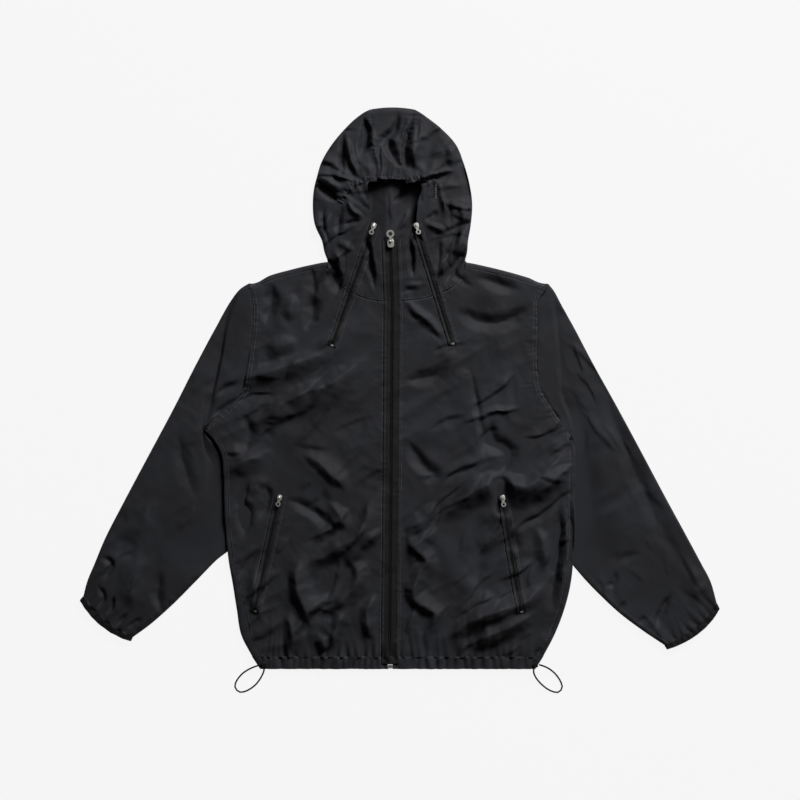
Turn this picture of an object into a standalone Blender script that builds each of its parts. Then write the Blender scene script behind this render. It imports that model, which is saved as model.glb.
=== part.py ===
"""Hooded windbreaker jacket, zipped up and laid flat on its back, in metres with +Z up.

The wearer's right is -X, the hood points to +Y, and z = 0 is the surface that the jacket lies on.
Every cloth piece is a thin wall round a grid of mid-surface points, and pieces stop short of each
other at the seams.
"""
import math
from collections import namedtuple

import bmesh
import bpy
from mathutils import Matrix, Vector
from mathutils.bvhtree import BVHTree

# Driving dimensions -------------------------------------------------------------------------------
MM = 0.001
CLOTH = 1.2 * MM            # shell cloth with its seam allowances
BINDING = 2.0 * MM          # cuff binding and hem casing, several layers thick
SEAM_GAP = 0.3 * MM         # between two pieces at a seam, and between a piece and what lies on it
REST = CLOTH / 2            # mid-surface height of cloth that lies on the surface
FRONT_RISE = 8.0 * MM       # mid-surface height of the fronts over the back
FOLD_POINTS = 5             # mid-surface points round a folded edge
SHARP_EDGE = math.radians(50)
BEVEL_FROM = math.radians(40)
HOOD_SWELL = 10.0 * MM      # how much higher the middle of the hood stands
SWELL_CENTRE = Vector((-0.015, 0.300))
SWELL_REACH = Vector((0.170, 0.190))
ROLL = 1.3                  # width of a folded edge over its half height
TUCK_REACH = 34.0 * MM      # how far in from the side the back is raised over a sleeve
SHOULDER_WRAP = 8.0 * MM    # how far the back comes over the shoulder onto the front
ZIP_HALF_SLOT = 3.0 * MM    # half of the gap that a zip's tape covers
POCKET_HALF_SLOT = 3.5 * MM
CENTRE_HALF_SLOT = 4.0 * MM
HEM_TOP = -446.5 * MM
HEM_BOTTOM = -467.2 * MM
HEM_STEPS = 8
HEM_DRAW = 0.945            # width of the drawn-in hem edge over the width at its seam
LOOK_FROM = 0.2             # height from which a ribbon's place on the panels is looked up
SHELF = 0.6 * MM            # extra play where a ribbon bridges the facets under it

# Centre line of the front zip, hem to chin ---------------------------------------------------------
CentrePoint = namedtuple("CentrePoint", "x y")
CENTRE_LINE = [
    CentrePoint(-16.3, -467), CentrePoint(-13.5, -150), CentrePoint(-11.5, 147), CentrePoint(-15.8, 262),
]

# Side of the body from the hem up: outline, reach of the back onto the front, and lift of the back
# over the tucked sleeve. From ARMPIT_ROW on, the outline is the armhole seam.
SideRow = namedtuple("SideRow", "x y wrap lift")
ARMPIT_ROW = 10
RIGHT_SIDE = [
    SideRow(-245.5, -446.5, 17, 0.0), SideRow(-262.9, -413, 17, 0.0), SideRow(-271.2, -368, 15, 0.0),
    SideRow(-278.0, -325, 11, 0.0), SideRow(-284.0, -290, 8, 3.9), SideRow(-289.6, -237, 7, 3.9),
    SideRow(-292.1, -187, 7, 3.9), SideRow(-293.6, -137, 7, 3.9), SideRow(-297.0, -110, 7, 3.9),
    SideRow(-311.5, -84.5, 7, 2.0), SideRow(-326.4, -67.6, 7, 0.0), SideRow(-305.0, -48, 0, 0.0),
    SideRow(-288.0, -35, 0, 0.0), SideRow(-268.0, -15, 0, 0.0), SideRow(-257.5, 3, 0, 0.0),
    SideRow(-250.5, 50, 0, 0.0), SideRow(-245.0, 93, 0, 0.0), SideRow(-243.5, 130, 0, 0.0),
    SideRow(-246.0, 150, 0, 0.0), SideRow(-248.5, 165.5, 0, 0.0),
]
LEFT_SIDE = [
    SideRow(238.5, -446.5, 8, 0.0), SideRow(256.2, -413, 8, 0.0), SideRow(273.7, -368, 8, 0.0),
    SideRow(284.0, -325, 8, 3.9), SideRow(288.5, -285, 8, 3.9), SideRow(292.1, -237, 8, 3.9),
    SideRow(291.3, -187, 8, 3.9), SideRow(292.1, -140, 8, 3.9), SideRow(292.9, -118, 7, 3.9),
    SideRow(292.2, -102, 7, 2.0), SideRow(288.4, -86.7, 7, 0.0), SideRow(280.0, -72, 0, 0.0),
    SideRow(262.0, -48, 0, 0.0), SideRow(247.0, -24, 0, 0.0), SideRow(233.8, -1.7, 0, 0.0),
    SideRow(229.0, 40, 0, 0.0), SideRow(228.7, 73, 0, 0.0), SideRow(229.3, 110, 0, 0.0),
    SideRow(231.0, 146, 0, 0.0), SideRow(243.5, 165.5, 0, 0.0),
]

# Shoulder fold from the neck out, with the neck seam of the fronts from the zip out to it
SHOULDER_RIGHT = [(-120, 209.5), (-152, 203.8), (-184, 196), (-216, 187), (-249.0, 173.4)]
SHOULDER_LEFT = [(109, 208.8), (144, 202), (178, 193.7), (212, 184), (244.8, 173.2)]
NECK_SEAM_RIGHT = [(-53, 148), (-83, 160), (-103, 174)]
NECK_SEAM_LEFT = [(42, 150), (72, 160), (92, 172)]
BACK_NECK_X = [-83, -45, -6, 33, 71]
BACK_NECK_Y = 208.6
NECK_SEAM_Y = 143.0 * MM    # where the neck seam meets the front zip
NECK_CORNER_DROP = 2.0 * MM # the shoulder seam ends this much lower at the neck

# Sleeve from the armhole to the cuff seam: outer fold, two points across, inner fold, and the
# mid-surface height of its upper layer over the outer half and at the inner fold
SleeveRow = namedtuple("SleeveRow", "outer a b inner top inner_top")
RIGHT_SLEEVE = [
    SleeveRow((-265, 165), (-264, 87), (-303, -12), (-331.5, -75.0), 8.0, 6.0),
    SleeveRow((-281, 145), (-283, 65), (-326, -38), (-317.5, -89), 7.6, 4.5),
    SleeveRow((-308, 97), (-308, 18), (-335, -60), (-301, -121), 7.2, 2.6),
    SleeveRow((-340, 37), (-331, -37), (-323, -107), (-278, -167), 7.2, 2.6),
    SleeveRow((-375, -32), (-355, -97), (-321, -163), (-270, -213), 7.2, 2.6),
    SleeveRow((-415, -107), (-376, -160), (-325, -215), (-273, -257), 7.2, 2.6),
    SleeveRow((-455, -182), (-410, -222), (-355, -258), (-308, -289), 7.2, 3.0),
    SleeveRow((-490, -250), (-445, -273), (-393, -300), (-343, -325), 7.2, 6.0),
    SleeveRow((-508, -293), (-468, -315), (-425, -340), (-381, -363), 7.2, 7.2),
    SleeveRow((-520, -322), (-488, -343), (-451, -368), (-415, -393), 7.2, 7.2),
    SleeveRow((-526.5, -347), (-504, -375), (-476, -398), (-445, -415), 7.2, 7.2),
]
LEFT_SLEEVE = [
    SleeveRow((256, 162), (249, 78), (268.5, -29), (296.8, -95.0), 8.0, 6.0),
    SleeveRow((269, 138), (270, 55), (289, -43), (299, -111), 7.6, 4.5),
    SleeveRow((289, 102), (295, 27), (306, -62), (297, -131), 7.2, 2.6),
    SleeveRow((320, 43), (324, -27), (314, -103), (270, -182), 7.2, 2.6),
    SleeveRow((359, -27), (352, -90), (324, -162), (262, -220), 7.2, 2.6),
    SleeveRow((400, -103), (377, -163), (329, -220), (265, -262), 7.2, 2.6),
    SleeveRow((442, -182), (402, -223), (349, -262), (295, -303), 7.2, 3.0),
    SleeveRow((479, -250), (434, -282), (384, -315), (334, -345), 7.2, 6.0),
    SleeveRow((502, -293), (460, -323), (415, -353), (370, -378), 7.2, 7.2),
    SleeveRow((517, -322), (484, -350), (447, -380), (405, -404), 7.2, 7.2),
    SleeveRow((527.5, -358.5), (504, -389), (475, -411), (441, -428), 7.2, 7.2),
]
SHOULDER_TIP_RIGHT = (-250.6, 174.1)
SHOULDER_TIP_LEFT = (246.2, 173.8)
CUFF_EDGE_RIGHT = [(-531.6, -353), (-509, -384), (-480, -407), (-448, -421)]
CUFF_EDGE_LEFT = [(531.5, -367), (509, -397.5), (479, -420), (445, -434.5)]
ARMPIT_CLEARANCE = 3.2 * MM # between the sleeve's inner fold and the side fold at the armpit
TUCK_FROM = 0.5             # share of the sleeve's width where it starts to flatten under the body
TUCK_OVER = 0.3
CUFF_SEAM_SHIFT = 0.5 * MM
CUFF_TOP = 7.4 * MM

# Hood sides from the neck up: seam with the centre strip at the back, outline, two points across the
# front, front edge (neck zip, then face opening, then front seam), and share of the full height
HoodRow = namedtuple("HoodRow", "seam edge a b front share")
RIGHT_HOOD = [
    HoodRow((-48.5, 209.3), (-119.0, 210.4), (-119.0, 199.8), (-103, 174.8), (-84.5, 161.3), 1.0),
    HoodRow((-48.5, 226), (-124.5, 224), (-108, 208), (-92, 196), (-72.5, 194), 1.0),
    HoodRow((-48.5, 246), (-129.5, 245), (-108, 240), (-86, 234), (-59, 234), 1.0),
    HoodRow((-48.5, 272), (-141.2, 272), (-118, 272), (-85, 270), (-47, 268.5), 1.0),
    HoodRow((-48.5, 305), (-144.6, 305), (-115, 305), (-83, 305), (-50, 304), 1.0),
    HoodRow((-48.5, 338), (-141.2, 338), (-112, 338), (-82, 340), (-50, 342), 1.0),
    HoodRow((-48.0, 350), (-138.0, 350), (-108, 350), (-76, 348), (-39, 345.5), 1.0),
    HoodRow((-48.0, 376), (-130.0, 376), (-102, 376), (-72, 376), (-39, 376), 1.0),
    HoodRow((-48.0, 405), (-112.9, 405), (-90, 405), (-68, 405), (-44.5, 405), 1.0),
    HoodRow((-47.7, 430), (-92.1, 430), (-77, 430), (-62, 430), (-45.5, 430), 1.0),
    HoodRow((-47.5, 448), (-73.0, 448.5), (-64, 448.3), (-56, 448), (-46.5, 448), 1.0),
    HoodRow((-47.5, 459), (-55.5, 460.3), (-52.5, 460), (-50, 459.5), (-47.3, 459), 0.88),
    HoodRow((-47.5, 462.3), (-48.6, 463.5), (-48.2, 463), (-47.8, 462.6), (-47.5, 462.3), 0.44),
]
LEFT_HOOD = [
    HoodRow((25.5, 209.3), (107.8, 210.2), (107.8, 199.6), (92, 172.9), (66.5, 158.8), 1.0),
    HoodRow((25.5, 226), (111.5, 224), (98, 212), (82, 196), (57, 190), 1.0),
    HoodRow((25.5, 246), (113.5, 245), (97, 238), (76, 230), (43, 232), 1.0),
    HoodRow((25.5, 272), (118.0, 272), (98, 270), (70, 269), (29, 270), 1.0),
    HoodRow((25.5, 305), (120.4, 305), (95, 305), (62, 305), (29.5, 304), 1.0),
    HoodRow((25.5, 338), (116.3, 338), (92, 338), (60, 340), (29.5, 342), 1.0),
    HoodRow((25.0, 350), (113.5, 350), (88, 350), (50, 347), (3.5, 345.5), 1.0),
    HoodRow((25.0, 376), (105.5, 376), (80, 376), (45, 376), (4.2, 376), 1.0),
    HoodRow((24.5, 405), (93.2, 405), (70, 405), (40, 405), (10, 405), 1.0),
    HoodRow((24.0, 430), (70.4, 430), (56, 430), (38, 430), (17, 430), 1.0),
    HoodRow((23.5, 448), (47.5, 448.5), (39, 448.3), (30, 448), (21.5, 448), 1.0),
    HoodRow((23.0, 459), (30.0, 460.3), (27.5, 460), (25, 459.5), (22.5, 459), 0.88),
    HoodRow((23.0, 462.3), (24.0, 463.5), (23.6, 463), (23.2, 462.6), (22.8, 462.3), 0.44),
]
BRIM_ROW = 6                # from this row up the front edge is the seam with the centre strip
CROWN_RIGHT = (-47.5, 463.7)    # outline at the ends of the centre strip
CROWN_LEFT = (22.9, 463.7)
FOLD_LIMIT = 0.85           # the outline's fold takes up at most this share of the way to the next point
CROWN_BOW = 3.0 * MM        # how much further the outline reaches at its middle
BOW_FROM_Y = 430.0 * MM

# Chin panels: points of the top edge from the centre zip out to the neck zip
CHIN_TOP_RIGHT = [(-19.8, 247), (-29, 258), (-40, 267.5)]
CHIN_TOP_LEFT = [(-11.6, 247), (7, 258), (22, 268.5)]
CHIN_BOTTOM_RIGHT = [(-15.9, 143.6), (-53, 148.5), (-77, 158.2)]
CHIN_BOTTOM_LEFT = [(-7.7, 143.6), (42, 150.5), (59.5, 156.4)]
CHIN_ROWS = 6

# Gathered elastic edge of the face opening, along its middle
BRIM = [
    (-98, 308), (-90, 322), (-80, 333), (-70, 341), (-56, 345.5), (-40, 346.5), (-20, 345.5), (0, 342.5),
    (20, 344), (36, 346.5), (50, 345), (60, 340), (69, 332),
]
BRIM_WIDTH = 9.0 * MM
BRIM_STEP = 12.0 * MM
BRIM_THICKNESS = 1.8 * MM

# Largest soft folds of the fronts, as ridges: ends, full width, height
Fold = namedtuple("Fold", "x0 y0 x1 y1 width height")
FOLDS = [
    Fold(-60, 100, -205, 10, 70, 2.6), Fold(-200, -60, -105, -160, 80, 2.2),
    Fold(-70, -235, -165, -295, 70, 3.0), Fold(-150, -345, -125, -425, 60, 2.4),
    Fold(-60, -395, -95, -330, 55, 2.0), Fold(-190, 150, -200, 80, 50, 2.4),
    Fold(85, 45, 135, -110, 60, 1.8), Fold(262, -120, 160, -205, 75, 3.2),
    Fold(120, -165, 50, -130, 60, 1.8), Fold(225, -345, 95, -420, 75, 3.0),
    Fold(150, 150, 170, 70, 60, 2.2), Fold(60, -250, 110, -330, 60, 2.2),
]

# Zips: ends of the chain, widths, size of the slider, and which way the pull tab lies
Zip = namedtuple("Zip", "name top bottom tape coil slider ring pull_down")
SliderSize = namedtuple("SliderSize", "width length")
RingSize = namedtuple("RingSize", "reach outer hole")
SMALL_SLIDER = SliderSize(8.0, 9.5)
SMALL_RING = RingSize(10.8, 4.1, 2.0)
ZIPS = [
    Zip("centre_zip", (-15.6, 246.5), (-16.2, -458), 28, 6.0, SliderSize(11.0, 14.0),
        RingSize(12.6, 6.5, 3.4), False),
    Zip("neck_zip_right", (-41.3, 272.5), (-112.5, 70), 14, 4.0, SMALL_SLIDER, SMALL_RING, True),
    Zip("neck_zip_left", (26.0, 273.0), (88.5, 73), 14, 4.0, SMALL_SLIDER, SMALL_RING, True),
    Zip("pocket_zip_right", (-198.5, -177.5), (-240.5, -371), 16, 4.0, SMALL_SLIDER, SMALL_RING, True),
    Zip("pocket_zip_left", (170.0, -178.0), (202.0, -371), 16, 4.0, SMALL_SLIDER, SMALL_RING, True),
]
TAPE_THICKNESS = 1.0 * MM
COIL_THICKNESS = 1.2 * MM
COIL_OVER_TAPE = (TAPE_THICKNESS + COIL_THICKNESS) / 2 + SEAM_GAP
TAPE_STEP = 14.0 * MM
SLIDER_PLATE = 1.4 * MM
ARCH_OUTER = 3.2 * MM
ARCH_INNER = 1.9 * MM
ARCH_WIDTH = 1.6 * MM
AXIS_OVER_PLATE = 0.95 * MM
PULL_THICKNESS = 1.0 * MM
PULL_HALF_WIDTH = 2.5 * MM
PULL_NECK_HALF_WIDTH = 1.7 * MM
EYE_HALF_WIDTH = 1.2 * MM
EYE_START = 0.5 * MM
EYE_END = 4.5 * MM
EYE_RIM = 0.6 * MM
PULL_OVERLAP = 1.5 * MM     # how far the shank runs into the ring
RING_HALF_THICKNESS = 0.45 * MM
RING_SIDES = 28
SLIDER_NOSE = 0.55          # width of the slider's ends over its full width
SLIDER_WAIST = 0.55         # where its sides start to narrow, as a share of half its length
SLIDER_ROUND = 0.3 * MM
ARCH_FORWARD = 0.22         # place of an upturned tab's axis, as a share of the slider's length
ARCH_STEPS = 10
ARCH_SINK = 0.4 * MM        # how far the arch's feet go into the plate
SLOT_END = 4.0 * MM         # the tape runs this much past the opening under a zip
SLOT_LOW = 4.0 * MM
SLOT_HIGH = 40.0 * MM
STOP_SIZE = Vector((9.0, 6.0, 3.0)) * MM
STOP_ROUND = 0.6 * MM
STOP_Y = -461.5 * MM

# Drawcord loops at the hem ends: a route by hand, from the tab and back to it
CORD_DIAMETER = 2.8 * MM
CORD_STEP = 6.5 * MM
CORD_RIGHT = [
    (-230.5, -459.5, 11.4), (-238, -462, 9.6), (-246, -465.5, 5.6), (-255, -470.5, 2.2),
    (-264, -477.5, 1.45), (-272, -488, 1.45), (-274.5, -498, 1.45), (-267, -506.5, 1.45),
    (-254, -504, 1.45), (-241, -495, 1.6), (-232, -483.5, 3.6), (-226.5, -472.5, 8.6),
    (-225, -465.8, 11.4),
]
CORD_LEFT = [
    (231.5, -459.5, 11.4), (240, -462.5, 9.4), (249, -467.5, 5.2), (259, -476, 1.8), (267.5, -488, 1.45),
    (270.5, -499, 1.45), (263.5, -507, 1.45), (249.5, -503.5, 1.45), (236, -493.5, 1.6), (226.5, -482, 3.8),
    (222.5, -472.5, 8.8), (222.5, -465.8, 11.4),
]
TAB_SIZE = Vector((8.0, 7.0, 3.0)) * MM
TAB_ROUND = 0.8 * MM
TAB_RIGHT = (-224.8, -460.3)
TAB_LEFT = (225.6, -460.3)


CURVE_STEPS = 20            # steps between two points of a route before it is evened out
UPPER_FROM = 0.1            # angle round a folded edge from which it leans to the upper panel


# Small mathematics ----------------------------------------------------------------------------------
def plan(point):
    """A table's plan point in millimetres as a 2-D vector in metres."""
    return Vector((point[0], point[1])) * MM


def mix(start, end, share):
    return start + (end - start) * share


def ease(share):
    share = min(1.0, max(0.0, share))
    return share * share * (3.0 - 2.0 * share)


def polyline(points, share):
    """Point at a share of a list of points, counted evenly by index."""
    place = share * (len(points) - 1)
    index = min(int(place), len(points) - 2)
    return mix(points[index], points[index + 1], place - index)


def cubic(points, share):
    """Point on the smooth curve through four points, at a share of its length."""
    knots = [0.0, 1.0 / 3.0, 2.0 / 3.0, 1.0]
    total = points[0] * 0.0
    for i, point in enumerate(points):
        weight = 1.0
        for j, knot in enumerate(knots):
            if i != j:
                weight *= (share - knot) / (knots[i] - knot)
        total = total + point * weight
    return total


def through(points, step):
    """Evenly stepped points on a Catmull-Rom curve through a route."""
    ends = [points[0] * 2 - points[1]] + points + [points[-1] * 2 - points[-2]]
    dense = []
    for a, b, c, d in zip(ends, ends[1:], ends[2:], ends[3:]):
        for k in range(CURVE_STEPS):
            t = k / CURVE_STEPS
            dense.append(0.5 * (2 * b + (c - a) * t + (2 * a - 5 * b + 4 * c - d) * t * t
                                + (3 * b - 3 * c + d - a) * t ** 3))
    dense.append(points[-1])
    lengths = [0.0]
    for a, b in zip(dense, dense[1:]):
        lengths.append(lengths[-1] + (b - a).length)
    count = max(2, round(lengths[-1] / step))
    picked = []
    index = 0
    for k in range(count + 1):
        wanted = lengths[-1] * k / count
        while index < len(dense) - 2 and lengths[index + 1] < wanted:
            index += 1
        span = lengths[index + 1] - lengths[index]
        picked.append(mix(dense[index], dense[index + 1], (wanted - lengths[index]) / span))
    return picked


def centre_x(y):
    """Middle of the front zip at a height up the jacket."""
    index = sum(point.y * MM < y for point in CENTRE_LINE[1:-1])
    low, high = CENTRE_LINE[index:index + 2]
    return mix(low.x, high.x, (y / MM - low.y) / (high.y - low.y)) * MM


def fold_height(point):
    """Rise of the soft folds at a plan point."""
    total = 0.0
    for fold in FOLDS:
        start = plan((fold.x0, fold.y0))
        along = plan((fold.x1, fold.y1)) - start
        share = min(1.0, max(0.0, (point - start).dot(along) / along.length_squared))
        distance = (point - start - along * share).length
        if distance < fold.width * MM / 2:
            total += fold.height * MM * math.cos(math.pi * distance / (fold.width * MM)) ** 2
    return total


def front_height(point):
    """Mid-surface height of the fronts and of the hood's upper layer at a plan point."""
    away = ((point.x - SWELL_CENTRE.x) / SWELL_REACH.x) ** 2
    away += ((point.y - SWELL_CENTRE.y) / SWELL_REACH.y) ** 2
    swell = max(0.0, 1.0 - away) ** 2
    return FRONT_RISE + HOOD_SWELL * swell + fold_height(point)


def at_height(point, z):
    return Vector((point.x, point.y, z))


def folded_edge(edge, inward, low, high, share=1.0, inward_above=None):
    """Mid-surface points round a folded edge, from the lower layer over to the upper one."""
    middle = (low + high) / 2
    half = (high - low) / 2
    points = []
    for step in range(FOLD_POINTS):
        angle = math.pi * (step / (FOLD_POINTS - 1) - 0.5)
        way = inward_above if inward_above is not None and angle > UPPER_FROM else inward
        width = min(half * ROLL, way.length)
        place = edge + way.normalized() * width * (1.0 - math.cos(angle))
        points.append(at_height(place, middle + half * share * math.sin(angle)))
    return points


# Building blocks ------------------------------------------------------------------------------------
def clear_scene():
    for obj in list(bpy.data.objects):
        bpy.data.objects.remove(obj, do_unlink=True)


def make_material(name, colour, roughness, metallic=0.0):
    material = bpy.data.materials.new(name)
    material.use_nodes = True
    shader = material.node_tree.nodes["Principled BSDF"]
    shader.inputs["Base Color"].default_value = (*colour, 1.0)
    shader.inputs["Roughness"].default_value = roughness
    shader.inputs["Metallic"].default_value = metallic
    return material


def add_mesh_object(name, bm, material):
    mesh = bpy.data.meshes.new(name)
    bm.to_mesh(mesh)
    bm.free()
    obj = bpy.data.objects.new(name, mesh)
    bpy.context.collection.objects.link(obj)
    mesh.materials.append(material)
    return obj


def add_wall(name, rows, thickness, material, ring=False):
    """Closed wall of one thickness round a grid of mid-surface points; None leaves a place out."""
    bm = bmesh.new()
    verts = [[bm.verts.new(point) if point is not None else None for point in row] for row in rows]
    if ring:
        verts = [row + [row[0]] for row in verts]
    for lower, upper in zip(verts, verts[1:]):
        for i in range(len(lower) - 1):
            corners = [lower[i], lower[i + 1], upper[i + 1], upper[i]]
            if None not in corners:
                bm.faces.new(corners)
    for vert in [v for v in bm.verts if not v.link_faces]:
        bm.verts.remove(vert)
    obj = add_mesh_object(name, bm, material)
    solidify = obj.modifiers.new("thickness", "SOLIDIFY")
    solidify.thickness = thickness
    solidify.offset = 0.0
    obj.data.shade_smooth()
    obj.data.set_sharp_from_angle(angle=SHARP_EDGE)
    return obj


def add_prism(name, outline, low, high, material=None):
    """Upright prism over a plan outline, in the object's own frame."""
    bm = bmesh.new()
    face = bm.faces.new([bm.verts.new((x, y, low)) for x, y in outline])
    grown = bmesh.ops.extrude_face_region(bm, geom=[face])
    moved = [item for item in grown["geom"] if isinstance(item, bmesh.types.BMVert)]
    bmesh.ops.translate(bm, verts=moved, vec=(0, 0, high - low))
    bmesh.ops.recalc_face_normals(bm, faces=bm.faces)
    return add_mesh_object(name, bm, material)


def combine(obj, other, operation):
    """Boolean one object with a helper that stays out of the build."""
    other.hide_render = True
    other.display_type = "WIRE"
    other.name = f"{obj.name}.{operation.lower()}.{len(obj.modifiers)}"
    boolean = obj.modifiers.new(operation.lower(), "BOOLEAN")
    boolean.operation = operation
    boolean.object = other
    boolean.solver = "EXACT"


def soften(obj, width):
    bevel = obj.modifiers.new("bevel", "BEVEL")
    bevel.width = width
    bevel.segments = 2
    bevel.limit_method = "ANGLE"
    bevel.angle_limit = BEVEL_FROM


def circle(centre_y, radius, count):
    turn = 2 * math.pi / count
    return [(radius * math.cos(turn * k), centre_y + radius * math.sin(turn * k)) for k in range(count)]


def rectangle(x0, y0, x1, y1):
    return [(x0, y0), (x1, y0), (x1, y1), (x0, y1)]


# Body -----------------------------------------------------------------------------------------------
def side_point(side, other, share, inset):
    """Plan point a given distance in from the side, at a share of the side's rows."""
    place = polyline([plan(row) for row in side], share)
    facing = polyline([plan(row) for row in other], share)
    return place + (facing - place).normalized() * inset


def side_value(side, share, column):
    return polyline([getattr(row, column) for row in side], share) * MM


def shifted_row(start_line, goals, straight_goals, share):
    """Straight grid line carried towards the curved top edge in step with its share of the height."""
    return [place + (goal - straight) * share
            for place, goal, straight in zip(start_line, goals, straight_goals)]


def shoulder_seam(shoulder, side):
    """Top edge of a front under the shoulder fold, from the neck out to the armhole."""
    seam = [plan(point) - Vector((0, SHOULDER_WRAP + SEAM_GAP)) for point in shoulder]
    seam[0].y -= NECK_CORNER_DROP
    seam[-1] = plan(side[-1])
    return seam


def front_rows(side, other, shoulder, neck_seam, sign):
    """Grid of a front between the centre zip, the hem casing, the side or armhole, and the top seams."""
    zip_corner = Vector((centre_x(NECK_SEAM_Y) + sign * CENTRE_HALF_SLOT, NECK_SEAM_Y))
    top_seam = [zip_corner] + [plan(point) for point in neck_seam] + shoulder_seam(shoulder, side)
    columns = len(top_seam) - 1
    straight_top = [mix(top_seam[0], top_seam[-1], i / columns) for i in range(columns + 1)]
    steps = 2 * (len(side) - 1)
    rows = []
    for j in range(steps + 1):
        share = j / steps
        below_armpit = j <= 2 * ARMPIT_ROW
        inset = side_value(side, share, "wrap") + SEAM_GAP if below_armpit else SEAM_GAP / 2
        outer = side_point(side, other, share, inset)
        inner_y = mix(HEM_TOP, NECK_SEAM_Y, share)
        inner = Vector((centre_x(inner_y) + sign * CENTRE_HALF_SLOT, inner_y))
        line = [mix(inner, outer, i / columns) for i in range(columns + 1)]
        line = shifted_row(line, top_seam, straight_top, share)
        rows.append([at_height(place, front_height(place)) for place in line])
    return rows


def back_top_line():
    """Shoulder folds and back neckline from right to left."""
    neck = [plan((x, BACK_NECK_Y)) for x in BACK_NECK_X]
    right = [plan(point) for point in reversed(SHOULDER_RIGHT)]
    return right + neck + [plan(point) for point in SHOULDER_LEFT]


def on_shoulder(index):
    return index < len(SHOULDER_RIGHT) or index >= len(SHOULDER_RIGHT) + len(BACK_NECK_X)


def back_side(side, other, row_index):
    """Start of a back row at one side: plan point, lift, and the flap folded over onto the front."""
    share = row_index / (len(side) - 1)
    lift = side[row_index].lift * MM
    if row_index > ARMPIT_ROW:
        return side_point(side, other, share, SEAM_GAP / 2), lift, [None] * FOLD_POINTS
    edge = side_point(side, other, share, 0.0)
    seam = side_point(side, other, share, side[row_index].wrap * MM)
    high = front_height(seam)
    fold = folded_edge(edge, seam - edge, REST + lift, high)
    return fold[0].xy, lift, fold[1:] + [at_height(seam, high)]


def back_rows():
    """Grid of the back: flat under the body, raised over the sleeves, folded over sides and shoulders."""
    top_line = back_top_line()
    count = len(top_line)
    fold_width = Vector((0, ROLL * (FRONT_RISE - REST) / 2))
    goals = [point - fold_width if on_shoulder(i) else point for i, point in enumerate(top_line)]
    ends = [side_point(RIGHT_SIDE, LEFT_SIDE, 1.0, 0.0), side_point(LEFT_SIDE, RIGHT_SIDE, 1.0, 0.0)]
    straight_top = tuck_line(ends[0], ends[1], count)
    rows = []
    for j in range(len(RIGHT_SIDE)):
        right, lift_right, flap_right = back_side(RIGHT_SIDE, LEFT_SIDE, j)
        left, lift_left, flap_left = back_side(LEFT_SIDE, RIGHT_SIDE, j)
        share = j / (len(RIGHT_SIDE) - 1)
        line = shifted_row(tuck_line(right, left, count), goals, straight_top, ease(share * 2 - 1))
        if share < 1.0:
            line[0] = right
            line[-1] = left
        lifts = [lift_right] * 2 + [0.0] * (count - 4) + [lift_left] * 2
        row = [at_height(place, REST + lift) for place, lift in zip(line, lifts)]
        rows.append(list(reversed(flap_right)) + row + flap_left)
    return rows + shoulder_fold_rows(top_line)


def tuck_line(right, left, count):
    """Points of a back row: its ends, the limits of the raised strips, and even steps between those."""
    direction = (left - right).normalized()
    near = right + direction * TUCK_REACH
    far = left - direction * TUCK_REACH
    return [right] + [mix(near, far, k / (count - 3)) for k in range(count - 2)] + [left]


def shoulder_fold_rows(top_line):
    """Rows that carry the back over the shoulders onto the front."""
    folded = [[None] * (len(top_line) + 2 * FOLD_POINTS) for _ in range(FOLD_POINTS)]
    right = list(reversed(shoulder_seam(SHOULDER_RIGHT, RIGHT_SIDE)))
    seams = right + [None] * len(BACK_NECK_X) + shoulder_seam(SHOULDER_LEFT, LEFT_SIDE)
    for i, (edge, seam) in enumerate(zip(top_line, seams)):
        if seam is None:
            continue
        over = seam + Vector((0, SEAM_GAP))
        high = front_height(over)
        points = folded_edge(edge, over - edge, REST, high)[1:] + [at_height(over, high)]
        for k, point in enumerate(points):
            folded[k][FOLD_POINTS + i] = point
    return folded


def hem_rows(upper):
    """Band from a seam line down to the hem edge, drawn in by its cord towards the middle."""
    lower = []
    for point in upper:
        lower.append(Vector((point.x * HEM_DRAW, HEM_BOTTOM, point.z)))
    return [lower, upper]


def hem_back_line():
    """Seam line of the back hem casing, round both side folds."""
    flaps = []
    for side, other in ((RIGHT_SIDE, LEFT_SIDE), (LEFT_SIDE, RIGHT_SIDE)):
        edge = side_point(side, other, 0.0, 0.0)
        seam = side_point(side, other, 0.0, side[0].wrap * MM)
        fold = folded_edge(edge, seam - edge, BINDING / 2, FRONT_RISE)
        flaps.append(fold + [at_height(seam, FRONT_RISE)])
    right, left = flaps
    middle = [mix(right[0], left[0], k / HEM_STEPS) for k in range(1, HEM_STEPS)]
    joined = list(reversed(right)) + middle + left
    return [Vector((point.x, HEM_TOP - SEAM_GAP, point.z)) for point in joined]


def hem_front_line(side, other, sign):
    outer = side_point(side, other, 0.0, side[0].wrap * MM + SEAM_GAP)
    start = Vector((centre_x(HEM_TOP) + sign * CENTRE_HALF_SLOT, HEM_TOP - SEAM_GAP, FRONT_RISE))
    end = Vector((outer.x, HEM_TOP - SEAM_GAP, FRONT_RISE))
    return [mix(start, end, k / HEM_STEPS) for k in range(HEM_STEPS + 1)]


# Sleeves --------------------------------------------------------------------------------------------
def sleeve_ring(across, outer, inner, shares, top_of, low):
    """Ring of mid-surface points round a flattened sleeve: over the top inwards, back underneath."""
    upper = [at_height(point, top_of(share, point)) for share, point in zip(shares, across)]
    outer_fold = folded_edge(outer, across[0] - outer, low, upper[0].z)
    inner_fold = folded_edge(inner, across[-1] - inner, low, top_of(1.0, inner))
    lower = [at_height(point, low) for point in reversed(across)]
    return outer_fold[1:] + upper + list(reversed(inner_fold)) + lower + outer_fold[:1]


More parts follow.
